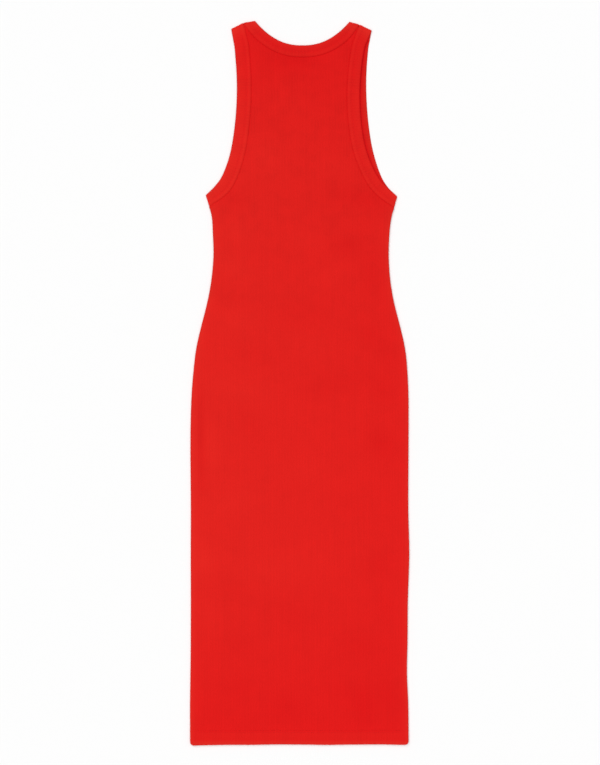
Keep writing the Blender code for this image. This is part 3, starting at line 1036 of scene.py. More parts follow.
@dataclass
class ToneGroup:
    """Slow changes over a laid cloth: its tone at random, a painted light falloff that darkens it towards
    the top, a painted sheen pool, and patches where its ribs lie open and their grooves get more painted
    shade.

    A noise is given by its scale and detail, a step by where it starts and ends, and a line by its slope
    and level.
    """

    broad_noise: Pair = (7.0, 2.0)
    speck_noise: Pair = (160.0, 3.0)
    patch_noise: Pair = (45.0, 1.0)
    streak_noise: Pair = (1.0, 1.0)
    streak_rates: Point = (210.0, 9.0, 1.0)
    light_falloff_floor: float = -0.20
    sheen_pool_rise_step: Pair = (-0.66, -0.26)
    sheen_pool_fall_step: Pair = (0.60, 0.34)
    sheen_pool_line: Pair = (-1.6, 0.76)
    open_patch_step: Pair = (0.42, 0.66)
    open_height_step: Pair = (-0.10, 0.45)
    open_line: Pair = (0.88, 0.12)

    def __post_init__(self) -> None:
        """Builds the shader group."""
        made = Tree(bpy.data.node_groups.new("cloth_tone", "ShaderNodeTree"))
        made.socket("Vector", "Vector")
        for name in ("Mottle", "Cloud", "Speckle", "Drift", "Streak"):
            made.socket(name, "Float", 0.0)
        for name in ("Tone", "Sheen Pool", "Open Rib Shade"):
            made.socket(name, "Float", output=True)
        source = made.tree.nodes.new("NodeGroupInput")
        vector = source.outputs["Vector"]
        place = made.add("ShaderNodeSeparateXYZ", {0: vector})
        across, height = place.outputs["X"], place.outputs["Y"]
        stretched = made.add("ShaderNodeVectorMath", {0: vector, 1: self.streak_rates}, operation="MULTIPLY")
        patches = made.noise(vector, *self.patch_noise)
        broad = made.centred(made.noise(vector, *self.broad_noise))
        tone = made.math("MULTIPLY", broad, source.outputs["Mottle"])
        for name, change in (
            ("Speckle", made.centred(made.noise(vector, *self.speck_noise))),
            ("Cloud", made.centred(patches)),
            ("Streak", made.centred(made.noise(stretched.outputs[0], *self.streak_noise))),
            # Painted light falloff: the tone drops with height, darker towards the top.
            ("Drift", made.math("MAXIMUM", height, self.light_falloff_floor)),
        ):
            tone = made.math("MULTIPLY_ADD", change, source.outputs[name], tone)
        # Painted sheen pool: more pale over the middle heights, most to the left.
        rise = made.smooth_range(height, *self.sheen_pool_rise_step)
        fall = made.smooth_range(height, *self.sheen_pool_fall_step)
        sideways = made.math("MULTIPLY_ADD", across, *self.sheen_pool_line)
        sheen_pool = made.math("MULTIPLY", made.math("MULTIPLY", rise, fall), sideways)
        # Patches, most in the upper part, where the ribs lie open and their grooves get more painted shade.
        open_rib_shade = made.smooth_range(patches, *self.open_patch_step)
        upper = made.smooth_range(height, *self.open_height_step)
        open_rib_shade = made.math("MULTIPLY", open_rib_shade, made.math("MULTIPLY_ADD", upper, *self.open_line))
        made.add("NodeGroupOutput", {"Tone": tone, "Sheen Pool": sheen_pool, "Open Rib Shade": open_rib_shade})
        self.tree = made.tree


def new_material(name: str, plain: Colour) -> tuple[bpy.types.Material, Tree, bpy.types.Node]:
    """Starts a material.

    Args:
        name: The material's name.
        plain: Its colour where its nodes aren't read.

    Returns:
        The material, its tree and its shader.
    """
    made = bpy.data.materials.new(name)
    made.use_nodes = True
    made.diffuse_color = (*plain, 1.0)
    return made, Tree(made.node_tree), made.node_tree.nodes["Principled BSDF"]


@dataclass(frozen=True)
class KnitFinish:
    """A dull rib knit, dyed one colour, with painted sheen along its edges and folds and painted shade in
    its grooves, seam ditches and troughs.
    """

    name: str
    dye: Colour
    # The pale colour that painted sheen mixes towards; painted shade mixes away from it.
    light: Colour
    # Painted shade in the rib grooves, more where the ribs lie open.
    groove_shade: float = 0.004
    open_groove_shade: float = 0.050
    # Painted shade in seam ditches and troughs: darker, and a deeper red down to a floor.
    ditch_shade_dark: float = 0.015
    ditch_shade_deep: float = 0.012
    deepest_shade: float = -0.034
    # Painted sheen along edges and folds, and in the painted sheen pool.
    edge_sheen_pale: float = 0.027
    edge_light: float = 0.015
    sheen_pool_pale: float = 0.025
    mottle: float = 0.05
    cloud: float = -0.05
    speckle: float = 0.03
    # Painted light falloff, darker towards the top.
    drift: float = -0.055
    streak: float = 0.06
    loop_depth: float = 0.00016
    loop_strength: float = 0.55
    loop_polish: float = -0.06
    roughness: float = 0.88
    specular: float = 0.06
    sheen: float = 0.02
    sheen_roughness: float = 0.45

    def material(self, knit: KnitGroup, tone: ToneGroup) -> bpy.types.Material:
        """Builds the material.

        Args:
            knit: The shared group of the knit's loops.
            tone: The shared group of the cloth's tone.

        Returns:
            The material.
        """
        made, tree, shader = new_material(self.name, self.dye)
        place = tree.add("ShaderNodeUVMap", uv_map=UV_NAME)
        loops = tree.add("ShaderNodeGroup", {"Vector": place.outputs[0]}, node_tree=knit.tree)
        own = tree.add("ShaderNodeTexCoord")
        inputs = {
            "Vector": own.outputs["Object"],
            "Mottle": self.mottle,
            "Cloud": self.cloud,
            "Speckle": self.speckle,
            "Drift": self.drift,
            "Streak": self.streak,
        }
        tones = tree.add("ShaderNodeGroup", inputs, node_tree=tone.tree)
        height = loops.outputs["Height"]
        inputs = {"Strength": self.loop_strength, "Distance": self.loop_depth, "Height": height}
        bump = tree.add("ShaderNodeBump", inputs)
        rough = tree.math("MULTIPLY_ADD", height, self.loop_polish, self.roughness)
        tree.link(self.colour(tree, loops, tones), shader.inputs["Base Color"])
        tree.link(bump.outputs[0], shader.inputs["Normal"])
        tree.link(rough, shader.inputs["Roughness"])
        shader.inputs["Specular IOR Level"].default_value = self.specular
        shader.inputs["Sheen Weight"].default_value = self.sheen
        shader.inputs["Sheen Roughness"].default_value = self.sheen_roughness
        return made

    def colour(self, tree: Tree, loops: bpy.types.Node, tones: bpy.types.Node) -> bpy.types.NodeSocket:
        """Builds the nodes of the colour: lighter with painted sheen, darker with painted shade in grooves,
        seam ditches, troughs and the shade attribute.

        Args:
            tree: The material's tree.
            loops: Its node for the knit's loops.
            tones: Its node for the cloth's tone.

        Returns:
            The colour's socket.
        """
        edge, ditch_shade, shade = (
            tree.add("ShaderNodeAttribute", attribute_name=name).outputs["Fac"]
            for name in (EDGE_SHEEN, DITCH_SHADE, SHADE)
        )
        # Painted shade in the rib grooves.
        groove = tree.math("MULTIPLY_ADD", tones.outputs["Open Rib Shade"], -self.open_groove_shade, -self.groove_shade)
        dark = tree.math("MULTIPLY", loops.outputs["Groove"], groove)
        # Painted shade in ditches and troughs, painted sheen on edges, and the shade attribute.
        dark = tree.math("MULTIPLY_ADD", ditch_shade, -self.ditch_shade_dark, dark)
        dark = tree.math("MULTIPLY_ADD", edge, self.edge_light, dark)
        dark = tree.math("SUBTRACT", dark, shade)
        level = tree.math("ADD", tree.math("ADD", dark, tones.outputs["Tone"]), 1.0)
        # Painted sheen mixes towards the pale colour; painted shade in ditches and troughs mixes away, to a
        # deeper red.
        pale = tree.math("MULTIPLY", edge, self.edge_sheen_pale)
        pale = tree.math("MULTIPLY_ADD", tones.outputs["Sheen Pool"], self.sheen_pool_pale, pale)
        pale = tree.math("MULTIPLY_ADD", ditch_shade, -self.ditch_shade_deep, pale)
        share = tree.math("MAXIMUM", pale, self.deepest_shade)
        colour = tree.blended(share, self.dye, self.light, clamp=False)
        shaded = tree.add("ShaderNodeVectorMath", {0: colour, "Scale": level}, operation="SCALE")
        return shaded.outputs[0]


@dataclass(frozen=True)
class ThreadFinish:
    """Sewing thread, dyed to the cloth and twisted."""

    name: str
    dye: Colour
    dark: Colour
    twist: float = 0.0007
    unevenness: float = 0.4
    roughness: float = 0.6
    specular: float = 0.2

    def material(self) -> bpy.types.Material:
        """Builds the material.

        Returns:
            The material.
        """
        made, tree, shader = new_material(self.name, self.dye)
        own = tree.add("ShaderNodeTexCoord")
        inputs = {
            "Vector": own.outputs["Object"],
            "Scale": 1.0 / self.twist,
            "Distortion": self.unevenness,
        }
        plies = tree.add("ShaderNodeTexWave", inputs, bands_direction="DIAGONAL")
        colour = tree.blended(plies.outputs["Fac"], self.dark, self.dye)
        tree.link(colour, shader.inputs["Base Color"])
        shader.inputs["Roughness"].default_value = self.roughness
        shader.inputs["Specular IOR Level"].default_value = self.specular
        return made


# ---------------------------------------------------------------------------------------------------
# Cloth pieces
# ---------------------------------------------------------------------------------------------------


@dataclass(frozen=True)
class StitchSize:
    """A row's stitches: how far apart, how long and thick they are, and how far they turn at random."""

    spacing: float = 0.0030
    length: float = 0.0024
    thread: float = 0.00042
    slant: float = 0.06
    seed: int = 7


@dataclass
class Workroom:
    """What every piece is made with: the cut, the node trees and the finished materials."""

    pattern: Pattern
    ribs: RibRelief
    stitches: StitchRun
    cloth_finish: bpy.types.Material
    band_finish: bpy.types.Material
    thread_finish: bpy.types.Material
    origin: np.ndarray

    def ribbed(self, mesh: bpy.types.Mesh, finish: bpy.types.Material) -> bpy.types.Object:
        """Raises the ribs of a cloth.

        Args:
            mesh: The smooth cloth, which holds where its ribs are and how far they rise.
            finish: Its material.

        Returns:
            The ribbed cloth.
        """
        cloth = self.pattern.cloth
        values = {"Pitch": cloth.pitch, "Crown": cloth.crown, "Foot": cloth.foot, "Finish": finish}
        return grown(placed(mesh.name, mesh), self.ribs.tree, values)

    def sewn(self, name: str, path: np.ndarray, edges: Edges, size: StitchSize) -> bpy.types.Object:
        """Sews stitches along paths.

        Args:
            name: The stitches' name.
            path: The paths' points in the pattern's frame.
            edges: The pairs of points that are joined.
            size: What the stitches are like.

        Returns:
            The stitches, as one mesh.
        """
        mesh = bpy.data.meshes.new(name)
        mesh.from_pydata((path - self.origin).tolist(), edges, [])
        values = {
            "Spacing": size.spacing,
            "Length": size.length,
            "Thickness": size.thread,
            "Slant": size.slant,
            "Seed": size.seed,
            "Finish": self.thread_finish,
        }
        return grown(placed(name, mesh), self.stitches.tree, values)


@dataclass(frozen=True)
class Spots:
    """A panel's points: their places on the cut, and what is near them.

    The level is 0 inside and goes from 1 to 3 round the rim to the face. Side and seams are the distances
    in from the nearer side seam and from the bindings' seams. Sewn is 1 on the hem's stitches, and creased
    is how far the creases raise the cloth.
    """

    x: np.ndarray
    y: np.ndarray
    level: np.ndarray
    side: np.ndarray
    seams: np.ndarray
    sewn: np.ndarray
    creased: np.ndarray

    @property
    def near(self) -> np.ndarray:
        """The distance in from whichever is nearer, a side seam or a binding."""
        return np.minimum(self.side, self.seams)


@dataclass
class Panel:
    """One panel of the dress: a closed shell with its rim rolled, its ribs and its turned hem."""

    room: Workroom
    layer: Layer
    row_step: float
    first_row: float = 0.035
    hem_rows: Pair = (0.008, 0.013)
    close_spans: tuple[Pair, ...] = ((0.880, 0.990), (1.120, 1.200))
    close_step: float = 0.0016
    merge: float = 1e-7
    bends: tuple[float, ...] = (-0.42, -0.28, -0.14, 0.0, 0.14, 0.28, 0.42)
    inside_ribs: int = 3
    rim_levels: tuple[float, ...] = (0.0, 1.0, 2.0, 3.0)
    rim_insets: Pair = (0.00022, 0.00038)
    rim_shares: tuple[float, ...] = (0.0, 0.50, 0.86, 1.0)
    bound_from: float = 0.86
    unbound: float = 1.0
    seam_samples: int = 24
    seam_fade: float = 0.004
    # The seam ditches' width, shared by their geometry and their painted shade.
    ditch_width: float = 0.0018
    ditch_drop: float = 0.0003
    ditch_power: float = 1.5
    # Painted sheen along the edges and on the turned hem band.
    edge_reach: float = 0.0055
    turned_pale: float = 0.30
    turned_inset: float = 0.0045
    sewn_reach: float = 0.6
    sewn_press: float = 0.45
    ridge: float = 0.00028
    ridge_width: float = 0.0100
    ridge_fall: float = 0.0040
    loft: float = 0.0010
    drape_from: float = 0.030
    drape_fade: float = 0.016
    crease_ends: float = 0.55
    crease_middle: float = 0.45
    # Painted shade in the creases' troughs and painted highlight on their ridges, per metre of rise.
    trough_shade: float = 27.0
    trough_deep_shade: float = 700.0
    # Painted shade along the side rims, where the cloth rounds away.
    rim_shade: float = 0.12
    rim_reach: float = 0.0018
    # Painted highlight along the side rims and the hem, stronger low on the sides.
    rim_glow: float = 0.5
    rim_glow_reach: float = 0.0026
    hem_glow: float = 1.3
    low_side: float = 0.24
    low_glow: float = 0.4
    # Where the painted shade in the seam ditches fades out, at the strap tops.
    strap_top: Pair = (1.180, 0.010)
    strap_fade: float = 0.8
    waver: float = 0.0006
    waver_up: Pair = (31.0, 7.3)
    waver_across: float = 9.0
    waver_turn: float = 1.1
    waver_from: float = 0.004
    waver_fade: float = 0.02

    @property
    def node(self) -> str:
        """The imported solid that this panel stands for."""
        return f"{self.layer.value}_panel"

    @property
    def upper(self) -> bool:
        """Whether this is the upper panel."""
        return self.layer is Layer.BACK

    def build(self) -> bpy.types.Object:
        """Makes the panel's shell with its ribs.

        Returns:
            The shell.
        """
        mesh = self.blank()
        spots = self.spots(mesh)
        points = np.stack([spots.x + self.shift(spots), spots.y, self.heights(spots)], axis=1)
        mesh.vertices.foreach_set("co", (points - self.room.origin).ravel())
        none = np.zeros(len(points))
        tell(mesh, PLACE, "FLOAT", spots.x)
        tell(mesh, LIFT, "FLOAT_VECTOR", np.stack([none, none, self.lift(spots)], axis=1))
        self.tell_looks(mesh, spots)
        corners = np.empty(len(mesh.loops), dtype=np.int32)
        mesh.loops.foreach_get("vertex_index", corners)
        uv = np.stack([spots.x[corners], spots.y[corners]], axis=1)
        mesh.uv_layers.new(name=UV_NAME).data.foreach_set("uv", uv.ravel())
        return self.room.ribbed(mesh, self.room.cloth_finish)

    def blank(self) -> bpy.types.Mesh:
        """Cuts the panel out as a slab whose points hold their level for a height.

        Returns:
            The slab.
        """
        across, up = (1.0, 0.0, 0.0), (0.0, 1.0, 0.0)
        outline = self.room.pattern.outline(self.layer)
        work = bmesh.new()
        face = work.faces.new([work.verts.new((x, y, self.rim_levels[1])) for x, y in outline])
        for level, inset in zip(self.rim_levels[2:], self.rim_insets):
            bmesh.ops.inset_individual(
                work, faces=[face], thickness=inset, depth=0.0, use_even_offset=True
            )
            for vert in face.verts:
                vert.co.z = level
        pitch = self.room.pattern.cloth.pitch
        low, high = outline[:, 0].min(), outline[:, 0].max()
        ribs = range(math.floor(low / pitch), math.ceil(high / pitch) + 1)
        for rib in ribs:
            for bend in self.bends:
                if low < (rib + bend) * pitch < high:
                    self.cut(work, ((rib + bend) * pitch, 0.0, 0.0), across)
        made = bmesh.ops.extrude_edge_only(work, edges=[edge for edge in work.edges if edge.is_boundary])
        for part in made["geom"]:
            if isinstance(part, bmesh.types.BMVert):
                part.co.z = self.rim_levels[0]
        bmesh.ops.holes_fill(work, edges=[edge for edge in work.edges if edge.is_boundary], sides=0)
        for rib in ribs[:: self.inside_ribs]:
            self.cut(work, (rib * pitch, 0.0, 0.0), across)
        for height in self.rows(float(outline[:, 1].max())):
            self.cut(work, (0.0, height, 0.0), up)
        bmesh.ops.recalc_face_normals(work, faces=work.faces)
        turned_outward(work)
        mesh = bpy.data.meshes.new(self.node + "_cloth")
        work.to_mesh(mesh)
        work.free()
        return mesh

    def rows(self, top: float) -> list[float]:
        """Spaces the rows of points, closer where the hem is turned and sewn and along the bindings.

        Args:
            top: The panel's height.

        Returns:
            The rows' heights.
        """
        hem = self.room.pattern.hem
        close = [hem.depth, hem.depth + hem.ramp, *self.hem_rows]
        close += [row + side for row in hem.rows for side in (-hem.dip_width, 0.0, hem.dip_width)]
        for start, end in self.close_spans:
            close += list(np.arange(start, end, self.close_step))
        return sorted(close + list(np.arange(self.first_row, top, self.row_step)))

    def cut(self, work: bmesh.types.BMesh, place: Point, direction: Point) -> None:
        """Cuts every face that a plane crosses."""
        geometry = work.verts[:] + work.edges[:] + work.faces[:]
        bmesh.ops.bisect_plane(work, geom=geometry, dist=self.merge, plane_co=place, plane_no=direction)

    def spots(self, mesh: bpy.types.Mesh) -> Spots:
        """Reads a slab's points.

        Args:
            mesh: The slab.

        Returns:
            The points and what is near them.
        """
        hem = self.room.pattern.hem
        points = np.empty(len(mesh.vertices) * 3)
        mesh.vertices.foreach_get("co", points)
        x, y, level = points.reshape(-1, 3).T.copy()
        side, seams = self.from_side(x, y), self.from_seams(x, y)
        sewn = sum(bell(y - row, self.sewn_reach * hem.dip_width) for row in hem.rows)
        creased = self.creases(x, y) if self.upper else np.zeros(len(x))
        return Spots(x, y, level, side, seams, sewn, creased)

    def from_side(self, x: np.ndarray, y: np.ndarray) -> np.ndarray:
        """The distance in from the nearer side seam."""
        left, right = (self.room.pattern.side_at(hand, y) for hand in Hand)
        return np.minimum(x - left, right - x)

    def from_seams(self, x: np.ndarray, y: np.ndarray) -> np.ndarray:
        """Measures how far points are from the bindings' seams.

        Args:
            x: The points' places across the dress.
            y: Their heights.

        Returns:
            The distances, or a long one where no binding comes near.
        """
        pattern = self.room.pattern
        bands = [pattern.neck_band(self.layer)]
        bands += [pattern.armhole_band(hand, self.layer) for hand in Hand]
        tree = search_tree(np.vstack([band.stations(self.seam_samples)[1] for band in bands]))
        near = np.full(len(x), self.unbound)
        for i in np.nonzero(y > self.bound_from)[0]:
            near[i] = tree.find((x[i], y[i], 0.0))[2]
        return near

    def creases(self, x: np.ndarray, y: np.ndarray) -> np.ndarray:
        """Works out how far the creases raise or sink the laid cloth.

        Args:
            x: The points' places across the dress.
            y: Their heights.

        Returns:
            How far each point rises.
        """
        rise = np.zeros(len(x))
        for crease in CREASES.values():
            start, end = np.array(crease.start), np.array(crease.end)
            way = end - start
            share = np.clip(((x - start[0]) * way[0] + (y - start[1]) * way[1]) / (way @ way), 0, 1)
            off = np.hypot(x - start[0] - way[0] * share, y - start[1] - way[1] * share)
            taper = self.crease_ends + self.crease_middle * np.sin(math.pi * share)
            rise += crease.height * taper * bell(off, crease.width)
        return rise

    def heights(self, spots: Spots) -> np.ndarray:
        """Works out the heights of the panel's smooth shell.

        Args:
            spots: The panel's points.

        Returns:
            Their heights.
        """
        cloth, hem = self.room.pattern.cloth, self.room.pattern.hem
        ply = hem.ply * hem.share(spots.y)
        if self.upper:
            laid = smooth(spots.near / self.drape_fade)
            laid = laid * smooth((spots.y - self.drape_from) / self.drape_fade)
            rise = np.maximum(self.loft + spots.creased, 0.0) * laid
            hold = 1.0 - smooth((spots.side - self.ridge_width) / self.ridge_fall)
            inside = cloth.back_inside + ply + rise
            face = cloth.back_inside + cloth.thickness + 2 * ply + rise
            face += self.ridge * hold - hem.dip * spots.sewn
            face -= self.ditch_drop * (1.0 - smooth(spots.seams / self.ditch_width))
        else:
            inside = cloth.front_inside + ply
            face = np.full(len(ply), cloth.rest_height)
        return inside + (face - inside) * np.interp(spots.level, self.rim_levels, self.rim_shares)

    def lift(self, spots: Spots) -> np.ndarray:
        """Works out how far a rib would raise each point: out of the rim and the face, less where sewn.

        Args:
            spots: The panel's points.

        Returns:
            The rises, below 0 in the lower panel, whose face is its underside.
        """
        cloth = self.room.pattern.cloth
        start, end = self.rim_levels[1], self.rim_levels[-1]
        outer = np.clip((spots.level - start) / (end - start), 0.0, 1.0)
        lift = outer * (cloth.rib_height if self.upper else -cloth.rest_height)
        return lift * (1.0 - self.sewn_press * np.clip(spots.sewn, 0.0, 1.0))

    def shift(self, spots: Spots) -> np.ndarray:
        """Works out how far the laid ribs stray sideways, away from the panel's edges.

        Args:
            spots: The panel's points.

        Returns:
            How far each point goes to the right.
        """
        turns, slow_turns = (spots.y * rate for rate in self.waver_up)
        turns = turns + spots.x * self.waver_across
        sway = self.waver * np.sin(turns) * np.sin(slow_turns + self.waver_turn)
        return sway * smooth((spots.near - self.waver_from) / self.waver_fade) * (spots.level > 0)

    def sheen_from_edge(self, inwards: np.ndarray, glow: float) -> np.ndarray:
        """How much painted sheen the cloth has at distances in from an edge, with a painted highlight along
        its rim.
        """
        inwards = np.maximum(inwards, 0.0)
        return np.exp(-inwards / self.edge_reach) + glow * bell(inwards, self.rim_glow_reach)

    def tell_looks(self, mesh: bpy.types.Mesh, spots: Spots) -> None:
        """Writes the painted sheen along the edges and the hem, the painted shade in the seam ditches,
        crease troughs and along the rims, and painted highlight on the crease ridges.

        Args:
            mesh: The panel's shell.
            spots: Its points.
        """
        # Painted sheen along the hem and on its turned band, and along the side rims, more so low on the
        # sides.
        unbound = smooth(spots.seams / self.seam_fade)
        turned = self.turned_pale * self.room.pattern.hem.share(spots.y + self.turned_inset)
        hem_sheen = np.maximum(self.sheen_from_edge(spots.y, self.hem_glow), turned)
        side_sheen = self.sheen_from_edge(spots.side, self.rim_glow) * unbound
        side_sheen *= 1.0 + self.low_glow * (1.0 - smooth(spots.y / self.low_side))
        # Painted shade in the seam ditches, fading at the strap tops.
        seam_shade = np.clip(1.0 - spots.seams / self.ditch_width, 0.0, 1.0) ** self.ditch_power
        seam_shade *= 1.0 - self.strap_fade * smooth((spots.y - self.strap_top[0]) / self.strap_top[1])
        # Painted shade along the side rims, and painted shade in crease troughs with painted highlight on
        # their ridges.
        rim = self.rim_shade * bell(np.maximum(spots.side, 0.0), self.rim_reach)
        tell(mesh, EDGE_SHEEN, "FLOAT", np.maximum(hem_sheen, side_sheen))
        tell(mesh, DITCH_SHADE, "FLOAT", seam_shade - self.trough_deep_shade * spots.creased)
        tell(mesh, SHADE, "FLOAT", rim * unbound - self.trough_shade * spots.creased)

    def dress(self, shell: bpy.types.Object, rests_on: list[str], sewn: list[bpy.types.Object]) -> None:
        """Attaches the panel to the body and hides the solid that it stands for.

        Args:
            shell: The panel's shell.
            rests_on: Not used.
            sewn: Not used.
        """
        outline = self.room.pattern.outline(self.layer)
        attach(shell, BODY)
        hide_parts(self.node)


@dataclass
class HemStitching:
    """The two rows of stitches along a panel's hem."""

    room: Workroom
    layer: Layer
    size: StitchSize = StitchSize(length=0.0025)
    inset: float = 0.0012
    path_points: int = 150
    follow: float = 0.5
    proud: float = 0.00006
    underside: float = 0.00016

    def build(self) -> bpy.types.Object:
        """Makes both rows and attaches them to the body.

        Returns:
            The stitches.
        """
        pattern, cloth = self.room.pattern, self.room.pattern.cloth
        if self.layer is Layer.BACK:
            height = cloth.back_inside + cloth.thickness + 2 * pattern.hem.ply + self.proud
        else:
            height = self.underside
        points, edges = [], []
        for row in pattern.hem.rows:
            left, right = (float(pattern.side_at(hand, row)) for hand in Hand)
            first = len(points)
            for x in np.linspace(left + self.inset, right - self.inset, self.path_points):
                points.append((x, row + self.follow * float(pattern.hem.line(x)), height))
            edges += [(i, i + 1) for i in range(first, len(points) - 1)]
        made = self.room.sewn(f"hem_{self.layer.value}_stitching", np.array(points), edges, self.size)
        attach(made, BODY)
        return made


@dataclass(frozen=True)
class BandRow:
    """One line of points along a binding's outside.

    It lies at a share of the binding's width from the edge, and some way on from there. Then come its
    share of the cloth's thickness, how many millimetres it swells, and how much of a rib's lift it has.
    """

    name: str
    share: float
    further: float
    thick: float = 1.0
    swell: float = 0.0
    ribbed: float = 1.0


def band_rows(stitches: float) -> tuple[BandRow, ...]:
    """Sets out the lines of points round a binding's outside.

    Args:
        stitches: How far the stitches are from the seam.

    Returns:
        The lines, from the edge's underside to the seam's.
    """
    return (
        BandRow("edge underside", 0.0, 0.0003, thick=0.18, ribbed=0.1),
        BandRow("edge nose", 0.0, 0.0000, thick=0.50, ribbed=0.2),
        BandRow("edge roll", 0.0, 0.0003, thick=0.80, ribbed=0.6),
        BandRow("edge shoulder", 0.0, 0.0010, thick=0.95, swell=0.10, ribbed=0.9),
        BandRow("edge crown", 0.0, 0.0024, swell=0.14),
        BandRow("edge flat", 0.25, 0.0, swell=0.08),
        BandRow("flat", 1.0, -(stitches + 0.0032), swell=0.02),
        BandRow("below the stitches", 1.0, -(stitches + 0.0010), swell=-0.04, ribbed=0.8),
        BandRow("stitches", 1.0, -stitches, swell=-0.20, ribbed=0.4),
        BandRow("above the stitches", 1.0, -(stitches - 0.0010), swell=-0.04, ribbed=0.8),
        BandRow("allowance end", 1.0, -(stitches - 0.0023), swell=0.18),
        BandRow("allowance crown", 1.0, -0.5 * stitches, swell=0.36),
        BandRow("allowance", 1.0, -0.0026, swell=0.22),
        BandRow("seam shoulder", 1.0, -0.0013, swell=-0.12, ribbed=0.7),
        BandRow("seam roll", 1.0, -0.0005, thick=0.77, ribbed=0.2),
        BandRow("seam nose", 1.0, 0.0, thick=0.50, ribbed=0.0),
        BandRow("seam underside", 1.0, -0.0001, thick=0.15, ribbed=0.0),
    )


@dataclass(frozen=True)
class SeamTone:
    """How much painted shade a binding has at a distance from its seam: 1 at the seam itself, and below 0 a
    painted highlight on the ridge.
    """

    from_seam: float
    dark: float


def seam_tones(stitches: float) -> tuple[SeamTone, ...]:
    """Sets out the painted shade and highlight of a binding from its seam to beyond its stitches.

    Args:
        stitches: How far the stitches are from the seam.

    Returns:
        The tones, from the seam inwards.
    """
    return (
        SeamTone(0.0000, 1.00),
        SeamTone(0.0010, 0.45),
        SeamTone(0.0022, -0.65),
        SeamTone(0.0042, -0.80),
        SeamTone(stitches - 0.0028, -0.25),
        SeamTone(stitches - 0.0012, 0.20),
        SeamTone(stitches, 0.45),
        SeamTone(stitches + 0.0014, 0.10),
        SeamTone(stitches + 0.0030, 0.00),
    )


@dataclass(frozen=True)
class Sections:
    """Cross-sections of a binding, one a row: points, ribs' lifts and distances from edge and seam."""

    points: np.ndarray
    lifts: np.ndarray
    from_edge: np.ndarray
    from_seam: np.ndarray


